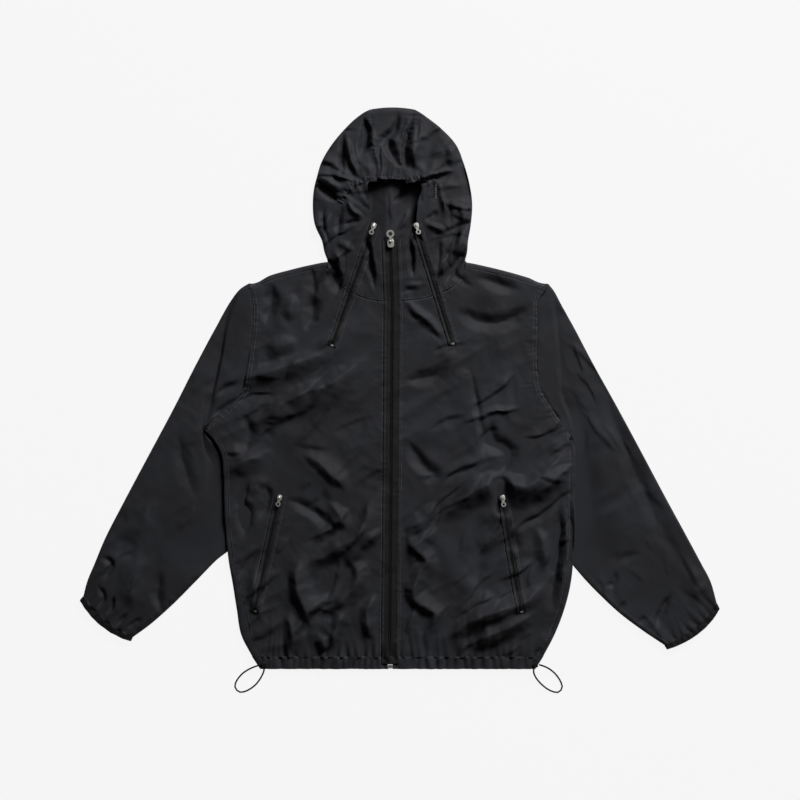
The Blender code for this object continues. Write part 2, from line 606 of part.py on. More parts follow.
def sleeve_rings(side, tip, table):
    """Rings of a sleeve from the armhole seam to the cuff seam, with the column shares they use."""
    armhole = [plan(row) for row in reversed(side[ARMPIT_ROW:])]
    tip = plan(tip)
    outward = Vector((math.copysign(1.0, tip.x), 0.0))
    inner = armhole[-1] + outward * ARMPIT_CLEARANCE
    lengths = [(armhole[0] - tip).length]
    for a, b in zip(armhole, armhole[1:]):
        lengths.append(lengths[-1] + (b - a).length)
    shares = [length / lengths[-1] for length in lengths[:-1]]
    first = sleeve_ring([point + outward * SEAM_GAP for point in armhole[:-1]], tip, inner, shares,
                        lambda share, point: front_height(point), REST)
    rings = [first]
    for row in table:
        rings.append(table_ring(row, shares, REST))
    return rings, shares


def table_ring(row, shares, low):
    guide = [plan(point) for point in (row.outer, row.a, row.b, row.inner)]
    across = [cubic(guide, share) for share in shares]

    def top_of(share, point):
        return mix(row.top, row.inner_top, ease((share - TUCK_FROM) / TUCK_OVER)) * MM

    return sleeve_ring(across, guide[0], guide[-1], shares, top_of, low)


def cuff_rings(last_row, edge, shares):
    """Two rings of the elastic cuff binding, from just past the cuff seam to the open end."""
    seam_points = [plan(point) for point in (last_row.outer, last_row.a, last_row.b, last_row.inner)]
    edge_points = [plan(point) for point in edge]
    rings = []
    for target in (0.0, 1.0):
        guide = []
        for seam_point, edge_point in zip(seam_points, edge_points):
            start = seam_point + (edge_point - seam_point).normalized() * CUFF_SEAM_SHIFT
            guide.append(mix(start, edge_point, target))
        across = [cubic(guide, share) for share in shares]
        rings.append(sleeve_ring(across, guide[0], guide[-1], shares,
                                 lambda share, point: CUFF_TOP, BINDING / 2))
    return rings


# Hood -----------------------------------------------------------------------------------------------
def hood_height(place, share):
    """Mid-surface height of the hood: share 1 is its upper layer, -1 its lower one."""
    top = front_height(place)
    return mix((REST + top) / 2, top, share)


def hood_row(row):
    """One row of a hood side: along the back, round the outline, and over the front."""
    seam, edge, a, b, front = (plan(getattr(row, key)) for key in ("seam", "edge", "a", "b", "front"))
    fold = folded_edge(edge, (seam - edge) * FOLD_LIMIT, REST, front_height(edge), row.share,
                       (a - edge) * FOLD_LIMIT)
    lower = [mix(seam, fold[0].xy, k / 3) for k in range(3)]
    upper = []
    for start, end in ((fold[-1].xy, a), (a, b), (b, front)):
        upper += [mix(start, end, 0.5), end]
    points = [at_height(place, hood_height(place, -row.share)) for place in lower]
    return points + fold + [at_height(place, hood_height(place, row.share)) for place in upper]


def hood_centre_rows():
    """Strip over the crown: up the back from the neck, over the outline, down the front to the brim."""
    pairs = list(zip(RIGHT_HOOD, LEFT_HOOD))
    stations = [(plan(right.seam), plan(left.seam), -right.share) for right, left in pairs]
    stations.append((plan(CROWN_RIGHT), plan(CROWN_LEFT), 0.0))
    for right, left in reversed(pairs[BRIM_ROW:]):
        stations.append((plan(right.front), plan(left.front), right.share))
    rows = []
    for right, left, share in stations:
        row = []
        for k in range(5):
            across = k / 4
            place = mix(right + Vector((SEAM_GAP, 0)), left - Vector((SEAM_GAP, 0)), across)
            bow = CROWN_BOW * ease((place.y - BOW_FROM_Y) / (CROWN_RIGHT[1] * MM - BOW_FROM_Y))
            place.y += bow * 4 * across * (1 - across)
            row.append(at_height(place, hood_height(place, share)))
        rows.append(row)
    return rows


def chin_rows(bottom, top):
    """Ruled grid of a chin panel between the neck seam and its free top edge."""
    low = [plan(point) for point in bottom]
    high = [plan(point) for point in top]
    rows = []
    for j in range(CHIN_ROWS + 1):
        row = [mix(polyline(low, i / 4), polyline(high, i / 4), j / CHIN_ROWS) for i in range(5)]
        rows.append([at_height(place, front_height(place)) for place in row])
    return rows


# Ribbons on the panels --------------------------------------------------------------------------------
class Panels:
    """The upper faces of the panels, for pieces that lie on them."""

    def __init__(self):
        self.layers = []

    def add(self, rows, thickness):
        """Remember a panel's grid and half its thickness."""
        points = [point for row in rows for point in row]
        width = len(rows[0])
        faces = []
        for j in range(len(rows) - 1):
            for i in range(width - 1):
                corner = j * width + i
                faces.append((corner, corner + 1, corner + width + 1, corner + width))
        self.layers.append((BVHTree.FromPolygons(points, faces), thickness / 2))

    def top(self, place):
        """Highest upper face at a plan point, or the fronts' own form where no panel is."""
        best = front_height(place) + CLOTH / 2
        for tree, half in self.layers:
            hit = tree.ray_cast(at_height(place, LOOK_FROM), Vector((0, 0, -1)))[0]
            if hit is not None and hit.z > FRONT_RISE / 2:
                best = max(best, hit.z + half)
        return best


def ribbon_rows(panels, route, width, lift):
    """Three-point rows across a route on the panels, a given distance over their upper faces."""
    rows = []
    for i, place in enumerate(route):
        before = route[max(i - 1, 0)]
        after = route[min(i + 1, len(route) - 1)]
        along = (after - before).normalized()
        across = Vector((-along.y, along.x))
        row = [place + across * width * side for side in (-0.5, 0.0, 0.5)]
        rows.append([at_height(point, panels.top(point) + lift) for point in row])
    return rows


def narrowed(row, share, lift):
    """A ribbon's row made narrower about its middle and moved up."""
    return [mix(row[1], point, share) + Vector((0, 0, lift)) for point in row]


def straight_route(start, end, step):
    count = max(2, round((end - start).length / step))
    return [mix(start, end, k / count) for k in range(count + 1)]


# Zips -------------------------------------------------------------------------------------------------
def hardware_frame(panels, place, along, reach, lift):
    """Frame whose plane clears the panels round a plan point: X across, Y along the zip, Z off the cloth."""
    across = Vector((along.y, -along.x))
    slope = (panels.top(place + along * reach) - panels.top(place - along * reach)) / (2 * reach)
    tilt = (panels.top(place + across * reach) - panels.top(place - across * reach)) / (2 * reach)
    y_axis = at_height(along, slope).normalized()
    z_axis = at_height(across, tilt).cross(y_axis).normalized()
    x_axis = y_axis.cross(z_axis)
    height = max(
        panels.top(place + along * reach * u + across * reach * v) - slope * reach * u - tilt * reach * v
        for u in (-1, -0.5, 0, 0.5, 1) for v in (-1, 0, 1)
    )
    frame = Matrix((x_axis, y_axis, z_axis)).transposed().to_4x4()
    frame.translation = at_height(place, height + lift)
    return frame


def add_slider(spec, frame, materials):
    """Slider body: a plate with a channel over the coil, and the arch that holds the pull tab."""
    half_width = spec.slider.width * MM / 2
    half_length = spec.slider.length * MM / 2
    nose = half_width * SLIDER_NOSE
    waist = half_length * SLIDER_WAIST
    outline = [(-half_width, -waist), (-nose, -half_length), (nose, -half_length), (half_width, -waist),
               (half_width, waist), (nose, half_length), (-nose, half_length), (-half_width, waist)]
    channel_height = COIL_THICKNESS + 2 * SEAM_GAP + SHELF
    top = channel_height + SLIDER_PLATE
    body = add_prism(spec.name + "_slider", outline, 0.0, top, materials["nickel"])
    soften(body, SLIDER_ROUND)
    channel_half = spec.coil * MM / 2 + 2 * SEAM_GAP
    channel = add_prism("channel", rectangle(-channel_half, -2 * half_length, channel_half, 2 * half_length),
                        -top, channel_height)
    combine(body, channel, "DIFFERENCE")
    arch = add_prism("arch", half_ring(ARCH_INNER, ARCH_OUTER), -ARCH_WIDTH / 2, ARCH_WIDTH / 2)
    upright = Matrix(((0, 0, 1), (1, 0, 0), (0, 1, 0))).to_4x4()
    upright.translation = Vector((0, arch_place(spec), top))
    arch.data.transform(upright)
    combine(body, arch, "UNION")
    for part in (body, channel, arch):
        part.matrix_world = frame
    return top


def arch_place(spec):
    """Place of the pull tab's axis along the slider."""
    return 0.0 if spec.pull_down else spec.slider.length * MM * ARCH_FORWARD


def half_ring(inner, outer):
    """Arch outline standing on y = 0, its feet sunk a little below."""
    turn = math.pi / ARCH_STEPS
    over = [(outer * math.cos(turn * k), outer * math.sin(turn * k)) for k in range(ARCH_STEPS + 1)]
    under = [(inner * math.cos(turn * k), inner * math.sin(turn * k)) for k in range(ARCH_STEPS, -1, -1)]
    feet = [(-outer, -ARCH_SINK), (-inner, -ARCH_SINK)]
    return [(outer, -ARCH_SINK)] + over + feet + under + [(inner, -ARCH_SINK)]


def add_pull(spec, frame, plate_top, materials):
    """Pull tab with its origin on its hinge axis: crossbar, eye for the arch, and ring end."""
    reach, outer, hole = (value * MM for value in spec.ring)
    half = PULL_THICKNESS / 2
    into_ring = reach - outer + PULL_OVERLAP
    shank = [(-PULL_HALF_WIDTH, -half), (PULL_HALF_WIDTH, -half), (PULL_HALF_WIDTH, EYE_END),
             (PULL_NECK_HALF_WIDTH, into_ring), (-PULL_NECK_HALF_WIDTH, into_ring),
             (-PULL_HALF_WIDTH, EYE_END)]
    pull = add_prism(spec.name + "_pull", shank, -half, half, materials["nickel"])
    ring = add_prism("ring", circle(reach, outer, RING_SIDES), -RING_HALF_THICKNESS, RING_HALF_THICKNESS)
    combine(pull, ring, "UNION")
    ring_hole = add_prism("ring_hole", circle(reach, hole, RING_SIDES), -PULL_THICKNESS, PULL_THICKNESS)
    combine(pull, ring_hole, "DIFFERENCE")
    eye = add_prism("eye", rectangle(-EYE_HALF_WIDTH, EYE_START, EYE_HALF_WIDTH, EYE_END - EYE_RIM),
                    -PULL_THICKNESS, PULL_THICKNESS)
    combine(pull, eye, "DIFFERENCE")
    place = Matrix.Translation((0, arch_place(spec), plate_top + AXIS_OVER_PLATE))
    turned = Matrix.Rotation(math.pi if spec.pull_down else 0.0, 4, "Z")
    for part in (pull, ring, ring_hole, eye):
        part.matrix_world = frame @ place @ turned


def add_zip(spec, panels, materials):
    """One zip: tape, coil, slider and pull tab."""
    top = plan(spec.top)
    bottom = plan(spec.bottom)
    route = straight_route(top, bottom, TAPE_STEP)
    if spec.name == "centre_zip":
        route = [Vector((centre_x(place.y), place.y)) for place in route]
    tape_lift = SEAM_GAP + SHELF + TAPE_THICKNESS / 2
    tape = ribbon_rows(panels, route, spec.tape * MM, tape_lift)
    add_wall(spec.name + "_tape", tape, TAPE_THICKNESS, materials["tape"])
    along = (route[0] - route[1]).normalized()
    half_slider = along * spec.slider.length * MM / 2
    first = [mix(a, b, half_slider.length / (route[0] - route[1]).length) for a, b in zip(tape[0], tape[1])]
    coil = [narrowed(row, spec.coil / spec.tape, COIL_OVER_TAPE) for row in [first] + tape[1:-1]]
    add_wall(spec.name + "_coil", coil, COIL_THICKNESS, materials["tape"])
    reach = max(spec.slider) * MM / 2
    lift = 2 * SEAM_GAP + SHELF + TAPE_THICKNESS
    frame = hardware_frame(panels, route[0] - half_slider, along, reach, lift)
    plate_top = add_slider(spec, frame, materials)
    add_pull(spec, frame, plate_top, materials)


def cut_slot(front, spec, half_width, material):
    """Cut the opening under a zip out of a front."""
    along = (plan(spec.top) - plan(spec.bottom)).normalized()
    across = Vector((-along.y, along.x)) * half_width
    low = plan(spec.bottom) + along * SLOT_END
    high = plan(spec.top) - along * SLOT_END
    outline = [low - across, low + across, high + across, high - across]
    slot = add_prism("slot", [tuple(point) for point in reversed(outline)], SLOT_LOW, SLOT_HIGH, material)
    combine(front, slot, "DIFFERENCE")


# Trims -------------------------------------------------------------------------------------------------
def add_block(name, place, size, low, material, round_by):
    """Small rounded block standing at a height over a plan point."""
    x, y = place
    block = add_prism(name, rectangle(-size.x / 2, -size.y / 2, size.x / 2, size.y / 2), 0, size.z, material)
    block.location = (x, y, low)
    soften(block, round_by)
    return block


def add_cord(name, route, material):
    """Round drawcord along a smooth curve through its route."""
    points = through([Vector(point) * MM for point in route], CORD_STEP)
    curve = bpy.data.curves.new(name, "CURVE")
    curve.dimensions = "3D"
    curve.bevel_depth = CORD_DIAMETER / 2
    curve.bevel_resolution = 2
    curve.use_fill_caps = True
    curve.materials.append(material)
    spline = curve.splines.new("POLY")
    spline.points.add(len(points) - 1)
    for target, point in zip(spline.points, points):
        target.co = (*point, 1.0)
    bpy.context.collection.objects.link(bpy.data.objects.new(name, curve))


# The jacket ---------------------------------------------------------------------------------------------
def build_body(cloth, panels):
    add_wall("back", back_rows(), CLOTH, cloth)
    fronts = {}
    for name, side, other, shoulder, neck_seam, sign in (
            ("front_right", RIGHT_SIDE, LEFT_SIDE, SHOULDER_RIGHT, NECK_SEAM_RIGHT, -1),
            ("front_left", LEFT_SIDE, RIGHT_SIDE, SHOULDER_LEFT, NECK_SEAM_LEFT, 1)):
        rows = front_rows(side, other, shoulder, neck_seam, sign)
        panels.add(rows, CLOTH)
        fronts[name] = add_wall(name, rows, CLOTH, cloth)
    return fronts


def build_hem(cloth, panels):
    add_wall("hem_back", hem_rows(hem_back_line()), BINDING, cloth)
    for name, side, other, sign in (("hem_front_right", RIGHT_SIDE, LEFT_SIDE, -1),
                                    ("hem_front_left", LEFT_SIDE, RIGHT_SIDE, 1)):
        rows = hem_rows(hem_front_line(side, other, sign))
        panels.add(rows, BINDING)
        add_wall(name, rows, BINDING, cloth)


def build_sleeves(cloth, binding):
    for name, side, tip, table, edge in (
            ("right", RIGHT_SIDE, SHOULDER_TIP_RIGHT, RIGHT_SLEEVE, CUFF_EDGE_RIGHT),
            ("left", LEFT_SIDE, SHOULDER_TIP_LEFT, LEFT_SLEEVE, CUFF_EDGE_LEFT)):
        rings, shares = sleeve_rings(side, tip, table)
        add_wall("sleeve_" + name, rings, CLOTH, cloth, ring=True)
        add_wall("cuff_" + name, cuff_rings(table[-1], edge, shares), BINDING, binding, ring=True)


def build_hood(cloth, binding, panels):
    for name, rows in (("hood_side_right", [hood_row(row) for row in RIGHT_HOOD]),
                       ("hood_side_left", [hood_row(row) for row in LEFT_HOOD]),
                       ("hood_centre", hood_centre_rows()),
                       ("chin_right", chin_rows(CHIN_BOTTOM_RIGHT, CHIN_TOP_RIGHT)),
                       ("chin_left", chin_rows(CHIN_BOTTOM_LEFT, CHIN_TOP_LEFT))):
        panels.add(rows, CLOTH)
        add_wall(name, rows, CLOTH, cloth)
    route = through([plan(point) for point in BRIM], BRIM_STEP)
    lift = SEAM_GAP + SHELF + BRIM_THICKNESS / 2
    add_wall("face_casing", ribbon_rows(panels, route, BRIM_WIDTH, lift), BRIM_THICKNESS, binding)


def build_jacket():
    clear_scene()
    cloth = make_material("black_nylon", (0.028, 0.028, 0.031), 0.5)
    binding = make_material("black_elastic", (0.012, 0.012, 0.014), 0.8)
    cord = make_material("black_cord", (0.015, 0.015, 0.017), 0.75)
    metals = {
        "tape": make_material("black_tape", (0.012, 0.012, 0.014), 0.7),
        "nickel": make_material("bright_nickel", (0.75, 0.75, 0.74), 0.28, 1.0),
    }
    panels = Panels()
    fronts = build_body(cloth, panels)
    build_hem(cloth, panels)
    build_sleeves(cloth, binding)
    build_hood(cloth, binding, panels)
    for spec in ZIPS:
        add_zip(spec, panels, metals)
        if spec.name != "centre_zip":
            front = fronts["front_right" if spec.name.endswith("right") else "front_left"]
            half_slot = POCKET_HALF_SLOT if spec.name.startswith("pocket") else ZIP_HALF_SLOT
            cut_slot(front, spec, half_slot, cloth)
    stop = Vector((centre_x(STOP_Y), STOP_Y))
    stop_low = panels.top(stop) + TAPE_THICKNESS + COIL_THICKNESS + 3 * SHELF
    add_block("zip_stop", stop, STOP_SIZE, stop_low, metals["nickel"], STOP_ROUND)
    hem_top = FRONT_RISE + BINDING / 2 + SEAM_GAP
    add_block("cord_tab_right", plan(TAB_RIGHT), TAB_SIZE, hem_top, binding, TAB_ROUND)
    add_block("cord_tab_left", plan(TAB_LEFT), TAB_SIZE, hem_top, binding, TAB_ROUND)
    add_cord("drawcord_right", CORD_RIGHT, cord)
    add_cord("drawcord_left", CORD_LEFT, cord)


build_jacket()
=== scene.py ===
"""Looks of the hooded windbreaker, zipped up and laid flat on its back.

Cloth pieces are fine grids on the jacket's own form, which are then given the cloth's thickness. The
large folds and creases are placed one by one, and small ones are scattered between them with fixed seeds.
Seams have their grooves and gathers. Metres, +Z up, hood towards +Y.
"""
import math
import random
from collections import namedtuple

import bpy
import numpy as np
from mathutils import Matrix, Vector
from mathutils.bvhtree import BVHTree


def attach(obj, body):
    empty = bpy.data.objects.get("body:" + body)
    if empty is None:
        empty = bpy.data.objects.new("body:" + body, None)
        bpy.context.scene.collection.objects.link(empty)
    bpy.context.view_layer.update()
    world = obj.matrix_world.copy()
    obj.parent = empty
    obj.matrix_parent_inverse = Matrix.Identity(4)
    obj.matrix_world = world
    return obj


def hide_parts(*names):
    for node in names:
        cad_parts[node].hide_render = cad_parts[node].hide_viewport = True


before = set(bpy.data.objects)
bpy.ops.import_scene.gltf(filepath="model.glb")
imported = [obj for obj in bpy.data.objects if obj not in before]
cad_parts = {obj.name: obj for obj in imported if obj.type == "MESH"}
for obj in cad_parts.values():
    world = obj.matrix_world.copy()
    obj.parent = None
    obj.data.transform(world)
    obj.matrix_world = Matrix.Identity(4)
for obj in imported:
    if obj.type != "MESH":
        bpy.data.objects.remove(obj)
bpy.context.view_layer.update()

# Sizes --------------------------------------------------------------------------------------------
MM = 0.001                  # what is multiplied by it is in metres; the tables' plain numbers are millimetres
CLOTH = 0.5 * MM            # thickness of the shell cloth
HEM_CLOTH = 1.2 * MM        # the hem casing is folded double
ALLOWANCE_CLOTH = 0.3 * MM
BINDING = 1.6 * MM          # thickness of the elastic cuff binding
SEAM_GAP = 0.15 * MM        # left open between the pieces of a seam
FLOOR_GAP = 0.1 * MM        # least room between any cloth and the floor
REST = 0.6 * MM             # mid-surface height of cloth that lies on the floor
FRONT_RISE = 8.0 * MM       # mid-surface height of the fronts, which lie on the back
SLEEVE_RISE = 7.2 * MM      # mid-surface height of a sleeve's upper layer
CUFF_TOP = 7.4 * MM         # mid-surface height of a cuff binding's upper layer
FOLD_POINTS = 5             # points round a folded edge
ROLL = 1.3                  # how far a folded edge reaches in, against its half height
HOOD_SWELL = 10.0 * MM      # how much higher the hood stands than the fronts, at its middle
SWELL_CENTRE = Vector((-0.015, 0.300))
SWELL_REACH = Vector((0.170, 0.190))
TUCK_REACH = 34.0 * MM      # width of the strips where the back is raised over the sleeves
SHOULDER_WRAP = 8.0 * MM    # how far the back comes over the shoulder onto the front
CENTRE_HALF_SLOT = 4.0 * MM     # half of the slot between the fronts, under the zip
HEM_TOP = -446.5 * MM
HEM_BOTTOM = -467.2 * MM
HEM_STEPS = 8
HEM_DRAW = 0.945            # the cord draws the hem's edge in to this share of its seam

# Spacing of the points of each kind of piece
BACK_STEP = 4.5 * MM
FRONT_STEP = 2.4 * MM
CHIN_STEP = 2.0 * MM
HEM_STEP = 2.0 * MM
SLEEVE_STEP = 3.0 * MM
CUFF_STEP = 1.6 * MM
HOOD_STEP = 1.8 * MM

# Relief of the cloth
CREST = 1.0 * MM            # rounding of a crease along its crest
CREASE_GAIN = 2.3           # height of a crease as built against its table's
CREASE_END = 0.38           # share of a crease's length over which it fades in or out
GROOVE_WIDTH = 1.7 * MM     # of a seam
CALM_HALF = 20 * MM         # half length of the strip of calm cloth that a pull tab swings over
CALM_FROM, CALM_OVER = 7 * MM, 14 * MM  # distance where creases come back, and over how much
CALM_LEAST = 0.15           # share of the creases' height that is left there

# Zips, stitches and tacks on the cloth
TAPE_LIFT, TAPE_CLOTH = 0.5 * MM, 0.6 * MM
TOOTH_SPACING, TOOTH_LIFT = 1.5 * MM, 1.0 * MM
TOOTH_TURN = 0.25           # radians that the teeth lean from straight across
LIP_HALF = 1.7 * MM         # half width of the cloth's folded lip over each edge of a tape
LIP_INSET = 1.6 * MM        # from the tape's edge to the middle of its lip
LIP_LIFT = 1.1 * MM
STITCH = (2.5 * MM, 0.5 * MM, 0.25 * MM)    # length, width, height
STITCH_SPACING = 3.0 * MM
STITCH_PAST_TAPE = 2.2      # millimetres from a tape's edge to the stitches beside it
TACK = (1.9 * MM, 1.0 * MM, 0.6 * MM)
TACK_HALF = 2.2 * MM        # half width of a bar of tacks
CASING_LIFT, CASING_CLOTH = 0.7 * MM, 1.0 * MM

# Floor, lights and camera
FLOOR_HALF = 30.0
FLOOR_Z = -0.5 * MM
WORLD_STRENGTH = 0.012
Light = namedtuple("Light", "name place edge power")
LIGHTS = [Light("key", (1.0, 1.5, 2.9), 1.1, 6), Light("low key", (1.9, 3.3, 2.45), 1.5, 315)]
CAMERA_PLACE = (0.0004, -0.020, 3.0)
LENS = 81.0
SENSOR = 36.0
FARTHEST = 20.0             # the camera sees no farther

# Centre line of the front zip, hem to chin --------------------------------------------------------
CentrePoint = namedtuple("CentrePoint", "x y")
CENTRE_LINE = [
    CentrePoint(-16.3, -467), CentrePoint(-13.5, -150), CentrePoint(-11.5, 147), CentrePoint(-15.8, 262),
]

# Side of the body from the hem up: outline, reach of the back onto the front, and lift of the back
# over the tucked sleeve. From ARMPIT_ROW on, the outline is the armhole seam.
SideRow = namedtuple("SideRow", "x y wrap lift")
ARMPIT_ROW = 10
RIGHT_SIDE = [
    SideRow(-245.5, -446.5, 17, 0.0), SideRow(-262.9, -413, 17, 0.0), SideRow(-271.2, -368, 15, 0.0),
    SideRow(-278.0, -325, 11, 0.0), SideRow(-284.0, -290, 8, 3.9), SideRow(-289.6, -237, 7, 3.9),
    SideRow(-292.1, -187, 7, 3.9), SideRow(-293.6, -137, 7, 3.9), SideRow(-297.0, -110, 7, 3.9),
    SideRow(-311.5, -84.5, 7, 2.0), SideRow(-326.4, -67.6, 7, 0.0), SideRow(-305.0, -48, 0, 0.0),
    SideRow(-288.0, -35, 0, 0.0), SideRow(-268.0, -15, 0, 0.0), SideRow(-257.5, 3, 0, 0.0),
    SideRow(-250.5, 50, 0, 0.0), SideRow(-245.0, 93, 0, 0.0), SideRow(-243.5, 130, 0, 0.0),
    SideRow(-246.0, 150, 0, 0.0), SideRow(-248.5, 165.5, 0, 0.0),
]
LEFT_SIDE = [
    SideRow(238.5, -446.5, 8, 0.0), SideRow(256.2, -413, 8, 0.0), SideRow(273.7, -368, 8, 0.0),
    SideRow(284.0, -325, 8, 3.9), SideRow(288.5, -285, 8, 3.9), SideRow(292.1, -237, 8, 3.9),
    SideRow(291.3, -187, 8, 3.9), SideRow(292.1, -140, 8, 3.9), SideRow(292.9, -118, 7, 3.9),
    SideRow(292.2, -102, 7, 2.0), SideRow(288.4, -86.7, 7, 0.0), SideRow(280.0, -72, 0, 0.0),
    SideRow(262.0, -48, 0, 0.0), SideRow(247.0, -24, 0, 0.0), SideRow(233.8, -1.7, 0, 0.0),
    SideRow(229.0, 40, 0, 0.0), SideRow(228.7, 73, 0, 0.0), SideRow(229.3, 110, 0, 0.0),
    SideRow(231.0, 146, 0, 0.0), SideRow(243.5, 165.5, 0, 0.0),
]

# Shoulder fold from the neck out, with the neck seam of the fronts from the zip out to it
SHOULDER_RIGHT = [(-120, 209.5), (-152, 203.8), (-184, 196), (-216, 187), (-249.0, 173.4)]
SHOULDER_LEFT = [(109, 208.8), (144, 202), (178, 193.7), (212, 184), (244.8, 173.2)]
NECK_SEAM_RIGHT = [(-53, 148), (-83, 160), (-103, 174)]
NECK_SEAM_LEFT = [(42, 150), (72, 160), (92, 172)]
BACK_NECK_X = [-83, -45, -6, 33, 71]
BACK_NECK_Y = 208.6
NECK_SEAM_Y = 143.0 * MM    # where the neck seam meets the front zip
NECK_CORNER_DROP = 2.0 * MM     # the shoulder seam ends this much lower at the neck

# Sleeve from the armhole to the cuff seam: outer fold, two points across, inner fold, and the
# mid-surface height of its upper layer over the outer half and at the inner fold
SleeveRow = namedtuple("SleeveRow", "outer a b inner top inner_top")
RIGHT_SLEEVE = [
    SleeveRow((-265, 165), (-264, 87), (-303, -12), (-329, -76.0), 8.0, 6.0),
    SleeveRow((-281, 145), (-283, 65), (-326, -38), (-309, -93), 7.6, 4.5),
    SleeveRow((-308, 97), (-308, 18), (-335, -60), (-294, -123), 7.2, 2.6),
    SleeveRow((-340, 37), (-331, -37), (-323, -107), (-278, -167), 7.2, 2.6),
    SleeveRow((-375, -32), (-355, -97), (-321, -163), (-270, -213), 7.2, 2.6),
    SleeveRow((-415, -107), (-376, -160), (-325, -215), (-273, -257), 7.2, 2.6),
    SleeveRow((-455, -182), (-410, -222), (-355, -258), (-308, -289), 7.2, 3.0),
    SleeveRow((-490, -250), (-445, -273), (-393, -300), (-343, -325), 7.2, 6.0),
    SleeveRow((-508, -293), (-468, -315), (-425, -340), (-381, -363), 7.2, 7.2),
    SleeveRow((-520, -322), (-488, -343), (-451, -368), (-415, -393), 7.2, 7.2),
    SleeveRow((-526.5, -347), (-504, -375), (-476, -398), (-445, -415), 7.2, 7.2),
]
LEFT_SLEEVE = [
    SleeveRow((256, 162), (249, 78), (268.5, -29), (292, -94.0), 8.0, 6.0),
    SleeveRow((269, 138), (270, 55), (289, -43), (289, -112), 7.6, 4.5),
    SleeveRow((289, 102), (295, 27), (306, -62), (287, -133), 7.2, 2.6),
    SleeveRow((320, 43), (324, -27), (314, -103), (270, -182), 7.2, 2.6),
    SleeveRow((359, -27), (352, -90), (324, -162), (262, -220), 7.2, 2.6),
    SleeveRow((400, -103), (377, -163), (329, -220), (265, -262), 7.2, 2.6),
    SleeveRow((442, -182), (402, -223), (349, -262), (295, -303), 7.2, 3.0),
    SleeveRow((479, -250), (434, -282), (384, -315), (334, -345), 7.2, 6.0),
    SleeveRow((502, -293), (460, -323), (415, -353), (370, -378), 7.2, 7.2),
    SleeveRow((517, -322), (484, -350), (447, -380), (405, -404), 7.2, 7.2),
    SleeveRow((527.5, -358.5), (504, -389), (475, -411), (441, -428), 7.2, 7.2),
]
SHOULDER_TIP_RIGHT = (-250.6, 174.1)
SHOULDER_TIP_LEFT = (246.2, 173.8)
CUFF_EDGE_RIGHT = [(-531.6, -353), (-509, -384), (-480, -407), (-448, -421)]
CUFF_EDGE_LEFT = [(531.5, -367), (509, -397.5), (479, -420), (445, -434.5)]
ARMPIT_CLEARANCE = 1.2 * MM     # between the sleeve's inner fold and the side fold at the armpit
TUCK_FROM = 0.5             # share of the sleeve's width where it starts to flatten under the body
TUCK_OVER = 0.3             # share of the width over which it does so
CUFF_SEAM_SHIFT = 0.5 * MM  # the binding starts this far past the cuff seam

# Hood sides from the neck up: seam with the centre strip at the back, outline, two points across the
# front, front edge (neck zip, then face opening, then front seam), and share of the full height
HoodRow = namedtuple("HoodRow", "seam edge a b front share")
RIGHT_HOOD = [
    HoodRow((-48.5, 209.3), (-119.0, 210.4), (-119.0, 199.8), (-103, 174.8), (-84.5, 161.3), 1.0),
    HoodRow((-48.5, 226), (-124.5, 224), (-108, 208), (-92, 196), (-72.5, 194), 1.0),
    HoodRow((-48.5, 246), (-129.5, 245), (-108, 240), (-86, 234), (-59, 234), 1.0),
    HoodRow((-48.5, 272), (-141.2, 272), (-118, 272), (-85, 270), (-47, 268.5), 1.0),
    HoodRow((-48.5, 305), (-144.6, 305), (-115, 305), (-83, 305), (-50, 304), 1.0),
    HoodRow((-48.5, 338), (-141.2, 338), (-112, 338), (-82, 340), (-50, 342), 1.0),
    HoodRow((-48.0, 350), (-138.0, 350), (-108, 350), (-76, 348), (-39, 345.5), 1.0),
    HoodRow((-48.0, 376), (-130.0, 376), (-102, 376), (-72, 376), (-39, 376), 1.0),
    HoodRow((-48.0, 405), (-112.9, 405), (-90, 405), (-68, 405), (-44.5, 405), 1.0),
    HoodRow((-47.7, 430), (-92.1, 430), (-77, 430), (-62, 430), (-45.5, 430), 1.0),
    HoodRow((-47.5, 448), (-73.0, 448.5), (-64, 448.3), (-56, 448), (-46.5, 448), 1.0),
    HoodRow((-47.5, 459), (-55.5, 460.3), (-52.5, 460), (-50, 459.5), (-47.3, 459), 0.88),
    HoodRow((-47.5, 462.3), (-48.6, 463.5), (-48.2, 463), (-47.8, 462.6), (-47.5, 462.3), 0.44),
]
LEFT_HOOD = [
    HoodRow((25.5, 209.3), (107.8, 210.2), (107.8, 199.6), (92, 172.9), (66.5, 158.8), 1.0),
    HoodRow((25.5, 226), (111.5, 224), (98, 212), (82, 196), (57, 190), 1.0),
    HoodRow((25.5, 246), (113.5, 245), (97, 238), (76, 230), (43, 232), 1.0),
    HoodRow((25.5, 272), (118.0, 272), (98, 270), (70, 269), (29, 270), 1.0),
    HoodRow((25.5, 305), (120.4, 305), (95, 305), (62, 305), (29.5, 304), 1.0),
    HoodRow((25.5, 338), (116.3, 338), (92, 338), (60, 340), (29.5, 342), 1.0),
    HoodRow((25.0, 350), (113.5, 350), (88, 350), (50, 347), (3.5, 345.5), 1.0),
    HoodRow((25.0, 376), (105.5, 376), (80, 376), (45, 376), (4.2, 376), 1.0),
    HoodRow((24.5, 405), (93.2, 405), (70, 405), (40, 405), (10, 405), 1.0),
    HoodRow((24.0, 430), (70.4, 430), (56, 430), (38, 430), (17, 430), 1.0),
    HoodRow((23.5, 448), (47.5, 448.5), (39, 448.3), (30, 448), (21.5, 448), 1.0),
    HoodRow((23.0, 459), (30.0, 460.3), (27.5, 460), (25, 459.5), (22.5, 459), 0.88),
    HoodRow((23.0, 462.3), (24.0, 463.5), (23.6, 463), (23.2, 462.6), (22.8, 462.3), 0.44),
]
